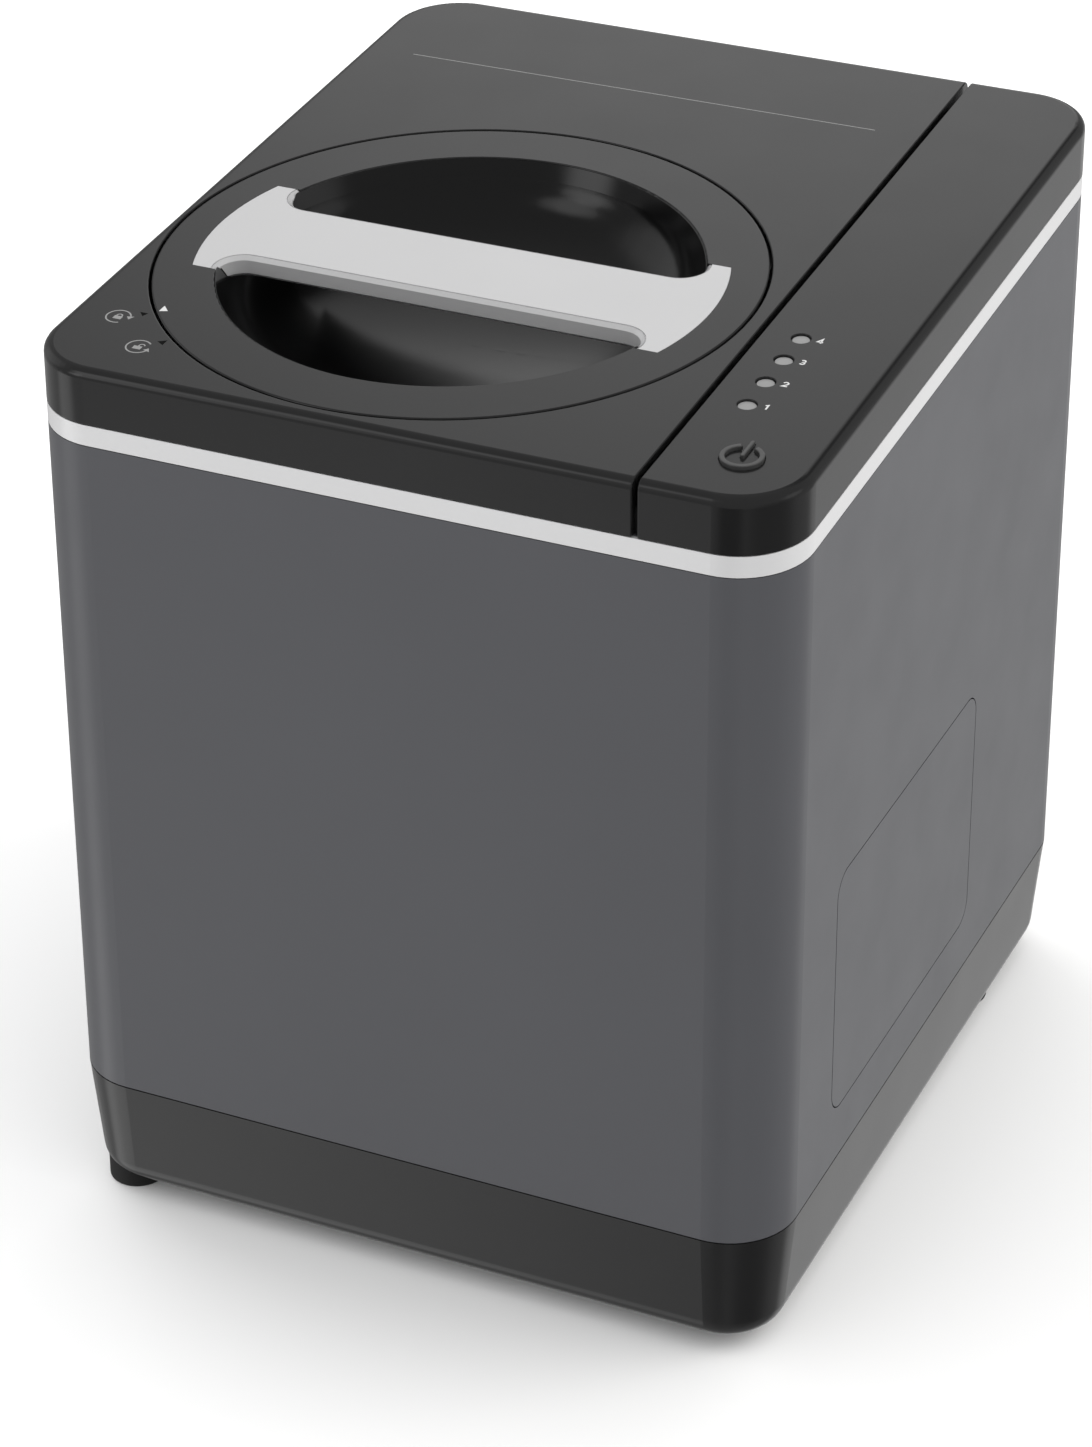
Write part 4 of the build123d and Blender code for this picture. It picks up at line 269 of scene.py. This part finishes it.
def transformer():
    """Laminated core: fine steel sheets, one on the other, and lacquer."""
    n = Nodes("transformer_core")
    n.set(Metallic=0.6)
    w = n.add("ShaderNodeTexWave", wave_type="BANDS", bands_direction="X")
    w.inputs["Scale"].default_value = 500.0
    w.inputs["Distortion"].default_value = 0.4
    n.link(n.obj, w.inputs["Vector"])
    n.link(n.mix(n.span(w.outputs["Fac"], 0, 1, 0, 1), (0.06, 0.055, 0.05, 1), (0.16, 0.15, 0.14, 1)), n.p.inputs["Base Color"])
    n.link(n.span(n.noise(200.0), 0.3, 0.7, 0.4, 0.55), n.p.inputs["Roughness"])
    n.link(n.bump(w.outputs["Fac"], 1.0, 0.0001), n.p.inputs["Normal"])
    return n.mat


BUCKET = coated_bucket()
PCB = circuit()
WOOL = wool()
CARBON = carbon()
CORE = transformer()
MARK_WHITE = moulded("mark_white", (0.60, 0.60, 0.60, 1), rough=0.5, tint=0.02, depth=0.000001)
MARK_GREY = moulded("mark_grey", (0.25, 0.25, 0.25, 1), rough=0.5, tint=0.02, depth=0.000001)
MARK_BLACK = moulded("mark_black", (0.002, 0.002, 0.002, 1), rough=0.6, tint=0.05, depth=0.000001, spec=0.1)

LOOK = {
    "outer_shell": SHELL, "filter_cover": SHELL,
    "top_deck": DECK, "control_cover": DECK, "lid_cover": DECK, "power_button": BUTTON_PAINTED_HIGHLIGHT,
    "trim_band": TRIM_PAINTED_SHEEN, "lid_handle": SILVER,
    "base_tray": BASE, "rear_panel": BLACK, "exhaust_grille": BLACK, "inlet_socket": BLACK,
    "lid_bowl": BOWL, "lid_liner": BLACK, "lid_retainer": ZINC, "lid_gasket": SEAL, "handle_screws": ZINC,
    "status_lenses": LENS, "rubber_feet": RUBBER, "case_screws": ZINC,
    "lock_ring": BLACK, "lid_switch": DARKPART,
    "bucket_well": ALU, "well_insulation": WOOL, "heater_plate": ALU, "heater_element": STEEL,
    "temperature_sensor": DARKPART, "support_frame": ZINC, "gearbox_housing": NYLON, "gearbox_cover": NYLON,
    "output_bearings": BRONZE, "output_shaft": STEEL, "output_gear": NYLON,
    "drive_dog": STEEL, "idler_gear": NYLON, "idler_pin": STEEL, "motor_can": ZINC, "motor_end_cap": BLACK,
    "motor_shaft": STEEL, "motor_pinion": BRONZE, "fan_housing": BLACK, "fan_rotor": BLACK,
    "exhaust_duct": BLACK, "air_duct": BLACK, "filter_bay": BLACK,
    "filter_cartridge_front": CARBON, "filter_cartridge_rear": CARBON,
    "power_board": PCB, "control_board": PCB, "board_capacitors": DARKPART, "board_transformer": CORE,
    "status_leds": LENS, "bucket": BUCKET, "bucket_floor": BUCKET, "bucket_hub": BUCKET, "breaker_bars": STEEL, "rotor_bushing": BRONZE, "bucket_bail": STEEL,
    "grinder_rotor": STEEL, "rotor_coupling": STEEL,
}
for name, ob in NODES.items():
    ob.data.materials.clear()
    ob.data.materials.append(LOOK[name])

# ------------------------------------------------------------------ marks
# Printed marks, as thin closed shapes that stand a hair above the sloping top.
SLOPE = 0.05976
CT, ST = math.cos(math.atan(SLOPE)), math.sin(math.atan(SLOPE))
DECK_FRAME = Matrix(((1, 0, 0, 0), (0, CT, -ST, 0), (0, ST, CT, 0.3545), (0, 0, 0, 1)))
RAISE, SINK = 0.03, -0.06


def mark(name, body, material, shapes):
    """shapes: lists of (left, right) point rows in mm on the top's plane; each row pair is one strip."""
    bm = bmesh.new()
    for left, right in shapes:
        rows = []
        for a, b in zip(left, right):
            rows.append([bm.verts.new((p[0] / 1000, p[1] / 1000, z / 1000)) for z in (RAISE, SINK) for p in (a, b)])
        for i in range(len(rows) - 1):
            (ta, tb, ua, ub), (tc, td, uc, ud) = rows[i], rows[i + 1]
            bm.faces.new((ta, tb, td, tc))
            bm.faces.new((ub, ua, uc, ud))
            bm.faces.new((ta, tc, uc, ua))
            bm.faces.new((td, tb, ub, ud))
        first, last = rows[0], rows[-1]
        bm.faces.new((first[1], first[0], first[2], first[3]))
        bm.faces.new((last[0], last[1], last[3], last[2]))
    bmesh.ops.remove_doubles(bm, verts=bm.verts[:], dist=1e-7)
    bmesh.ops.dissolve_degenerate(bm, edges=bm.edges[:], dist=1e-7)
    bmesh.ops.recalc_face_normals(bm, faces=bm.faces[:])
    me = bpy.data.meshes.new(name)
    bm.to_mesh(me)
    bm.free()
    ob = bpy.data.objects.new(name, me)
    sc.collection.objects.link(ob)
    ob.matrix_world = DECK_FRAME
    me.materials.append(material)
    bpy.context.view_layer.update()
    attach(ob, body)
    return ob


def line(points, width):
    """One strip along a polyline, mitred at its corners."""
    left, right = [], []
    n = len(points)
    for i, p in enumerate(points):
        p = Vector(p)
        d0 = (p - Vector(points[i - 1])).normalized() if i else None
        d1 = (Vector(points[i + 1]) - p).normalized() if i < n - 1 else None
        d0, d1 = d0 or d1, d1 or d0
        nrm = Vector((-(d0.y + d1.y), d0.x + d1.x)).normalized()
        cosine = max(0.35, nrm.dot(Vector((-d0.y, d0.x))))
        nrm *= width / 2 / cosine
        left.append(tuple(p + nrm))
        right.append(tuple(p - nrm))
    return left, right


def arc(cx, cy, r, a0, a1, n=24, rx=1.0):
    return [(cx + rx * r * math.cos(math.radians(a0 + (a1 - a0) * i / n)),
             cy + r * math.sin(math.radians(a0 + (a1 - a0) * i / n))) for i in range(n + 1)]


def tri(a, b, c):
    return [a, b], [a, c]


def quad(a, b, c, d):
    return [a, b], [d, c]


def padlock(cx, cy, opened):
    """Solid body with a bowed shackle over it, swung aside when open."""
    body = quad((cx - 1.55, cy - 1.75), (cx - 1.55, cy + 0.35), (cx + 1.55, cy + 0.35), (cx + 1.55, cy - 1.75))
    sx = cx + (1.0 if opened else 0.0)
    top = cy + (0.95 if opened else 0.75)
    bow = [(sx - 0.95, cy + 0.3)] + arc(sx, top, 0.95, 180, 0, 14) + ([] if opened else [(sx + 0.95, cy + 0.3)])
    return [body, line(bow, 0.5)]


LX, LY, UX, UY, IR = -121.4, -121.9, -104.5, -138.5, 4.3
lock_arc = arc(LX, LY, IR, -62, -345, 40)
unlock_arc = arc(UX, UY, IR, 42, 335, 40)
lx, ly = lock_arc[-1]
ux, uy = unlock_arc[-1]
mark("lock_icon", "housing", MARK_GREY,
     [line(lock_arc, 0.55), tri((lx - 1.35, ly - 0.1), (lx + 1.25, ly + 0.55), (lx + 0.1, ly - 1.9))] + padlock(LX + 0.1, LY, False))
mark("unlock_icon", "housing", MARK_GREY,
     [line(unlock_arc, 0.55), tri((ux - 1.3, uy + 0.25), (ux + 1.3, uy - 0.35), (ux + 0.15, uy + 1.9))] + padlock(UX - 0.1, UY, True))
mark("lock_arrow", "housing", MARK_BLACK, [tri((-115.9, -116.4), (-112.8, -116.4), (-113.8, -118.7))])
mark("unlock_arrow", "housing", MARK_BLACK, [tri((-100.1, -132.9), (-97.3, -131.1), (-97.4, -134.6))])
mark("lid_arrow", "lid", MARK_WHITE, [tri((-110.2, -113.5), (-110.1, -109.4), (-107.3, -112.4))])
mark("deck_line", "housing", MARK_GREY, [quad((-118.9, 105.95), (-118.9, 106.4), (69.4, 106.9), (69.4, 106.45))])


def figure(k, x, y, h=3.2, w=0.62):
    """A plain digit, x at its left edge and y at its foot."""
    if k == 1:
        return [line([(x + 0.35, y + h * 0.74), (x + 1.25, y + h - w / 2), (x + 1.25, y)], w)]
    if k == 2:
        return [line(arc(x + 1.15, y + h - 1.0, 0.85, 165, -35, 12) + [(x + 0.42, y + w / 2), (x + 2.2, y + w / 2)], w)]
    if k == 3:
        return [line(arc(x + 1.0, y + h - 0.95, 0.72, 150, -80, 12) + arc(x + 1.0, y + 0.95, 0.78, 75, -150, 14), w)]
    return [line([(x + 2.35, y + 0.85), (x + 0.3, y + 0.85), (x + 1.6, y + h - 0.1), (x + 1.6, y)], w)]


LED_Y = (-52.15, -68.05, -84.3, -100.7)
digits = []
for k, y in zip((4, 3, 2, 1), LED_Y):
    digits += figure(k, 108.1, y - 1.05)
mark("status_digits", "housing", MARK_WHITE, digits)

# ------------------------------------------------------------------- floor
me = bpy.data.meshes.new("floor")
me.from_pydata([(-30, -30, 0), (30, -30, 0), (30, 30, 0), (-30, 30, 0)], [], [(0, 1, 2, 3)])
floor = bpy.data.objects.new("floor", me)
sc.collection.objects.link(floor)
fm = Nodes("floor_paint")
fm.set(Roughness=0.9)
fm.p.inputs["Specular IOR Level"].default_value = 0.0
fm.link(fm.mix(fm.noise(2.0), (0.93, 0.93, 0.93, 1), (0.94, 0.94, 0.94, 1)), fm.p.inputs["Base Color"])
me.materials.append(fm.mat)
floor.visible_glossy = False

# ------------------------------------------------------------------- world
# The studio: an even pale room for the light, and soft bright and dark
# panels round the object for what its satin surfaces reflect.
AMBIENT = 1.13
BASE_LEVEL = 0.28
# azimuth from the front towards the right, elevation, inner and outer angle, radiance added
PANELS = [
    (-160, 20, 6, 16, 0.48),
    (-161, 29, 8, 19, 0.29),
    (176, 42, 6, 16, -0.24),
    (-38, 10, 4, 16, 1.35),
    (-35, 32, 4, 17, 1.00),
    (97, 14, 8, 20, 0.40),
    (-95, 20, 10, 30, 0.35),
    (-58, -48, 6, 24, 1.00),
    (-35, -25, 4, 16, 0.14),
    (66, -30, 10, 40, -0.22),
    (6, -30, 8, 22, -0.28),
    (-26, -36, 5, 14, 0.25),
    (-66, -26, 5, 16, 0.70),
    (174, -34, 22, 35, 0.36),
    (-104, -28, 10, 40, 0.13),
]
world = bpy.data.worlds.new("studio")
sc.world = world
world.use_nodes = True
wt = world.node_tree
wt.nodes.clear()
wout = wt.nodes.new("ShaderNodeOutputWorld")
coord = wt.nodes.new("ShaderNodeTexCoord")


def wmath(op, a, b):
    m = wt.nodes.new("ShaderNodeMath")
    m.operation = op
    for i, v in enumerate((a, b)):
        if isinstance(v, (int, float)):
            m.inputs[i].default_value = v
        else:
            wt.links.new(v, m.inputs[i])
    return m.outputs[0]


total = None
for az, el, inner, outer, level in PANELS:
    a, e = math.radians(az), math.radians(el)
    axis = (math.sin(a) * math.cos(e), -math.cos(a) * math.cos(e), math.sin(e))
    d = wt.nodes.new("ShaderNodeVectorMath")
    d.operation = "DOT_PRODUCT"
    wt.links.new(coord.outputs["Generated"], d.inputs[0])
    d.inputs[1].default_value = axis
    m = wt.nodes.new("ShaderNodeMapRange")
    m.interpolation_type = "SMOOTHSTEP"
    m.inputs["From Min"].default_value = math.cos(math.radians(outer))
    m.inputs["From Max"].default_value = math.cos(math.radians(inner))
    m.inputs["To Min"].default_value = 0.0
    m.inputs["To Max"].default_value = level
    wt.links.new(d.outputs["Value"], m.inputs["Value"])
    total = m.outputs[0] if total is None else wmath("ADD", total, m.outputs[0])
total = wmath("MAXIMUM", wmath("ADD", total, BASE_LEVEL), 0.0)

path = wt.nodes.new("ShaderNodeLightPath")


def background(value):
    b = wt.nodes.new("ShaderNodeBackground")
    if isinstance(value, float):
        b.inputs["Strength"].default_value = value
    else:
        wt.links.new(value, b.inputs["Strength"])
    b.inputs["Color"].default_value = (1, 1, 1, 1)
    return b.outputs[0]


def wmix(fac, a, b):
    m = wt.nodes.new("ShaderNodeMixShader")
    wt.links.new(fac, m.inputs[0])
    wt.links.new(a, m.inputs[1])
    wt.links.new(b, m.inputs[2])
    return m.outputs[0]


lit = wmix(path.outputs["Is Glossy Ray"], background(AMBIENT), background(total))
wt.links.new(wmix(path.outputs["Is Camera Ray"], lit, background(1.0)), wout.inputs[0])
world.cycles.sampling_method = "NONE"

# ------------------------------------------------------------------ lights
def area(name, loc, target, size, watts, glossy=True, size_y=None, color=(1, 1, 1)):
    d = bpy.data.lights.new(name, "AREA")
    d.energy = watts
    d.size = size
    d.color = color
    if size_y:
        d.shape = "RECTANGLE"
        d.size_y = size_y
    o = bpy.data.objects.new(name, d)
    sc.collection.objects.link(o)
    o.location = loc
    o.rotation_mode = "QUATERNION"
    o.rotation_quaternion = (Vector(target) - Vector(loc)).to_track_quat("-Z", "Y")
    o.visible_glossy = glossy
    o.visible_camera = False
    return o


area("key_overhead", (0.1, -0.2, 3.0), (0, 0, 0.1), 3.0, 3.0, glossy=False)
area("fill_right", (2.3, 0.7, 2.0), (0.3, 0, 0), 2.0, 30.0, glossy=False, color=(1.0, 0.985, 0.96))
area("fill_left", (-2.2, 1.2, 2.0), (-0.3, 0, 0), 2.0, 18.0, glossy=False)
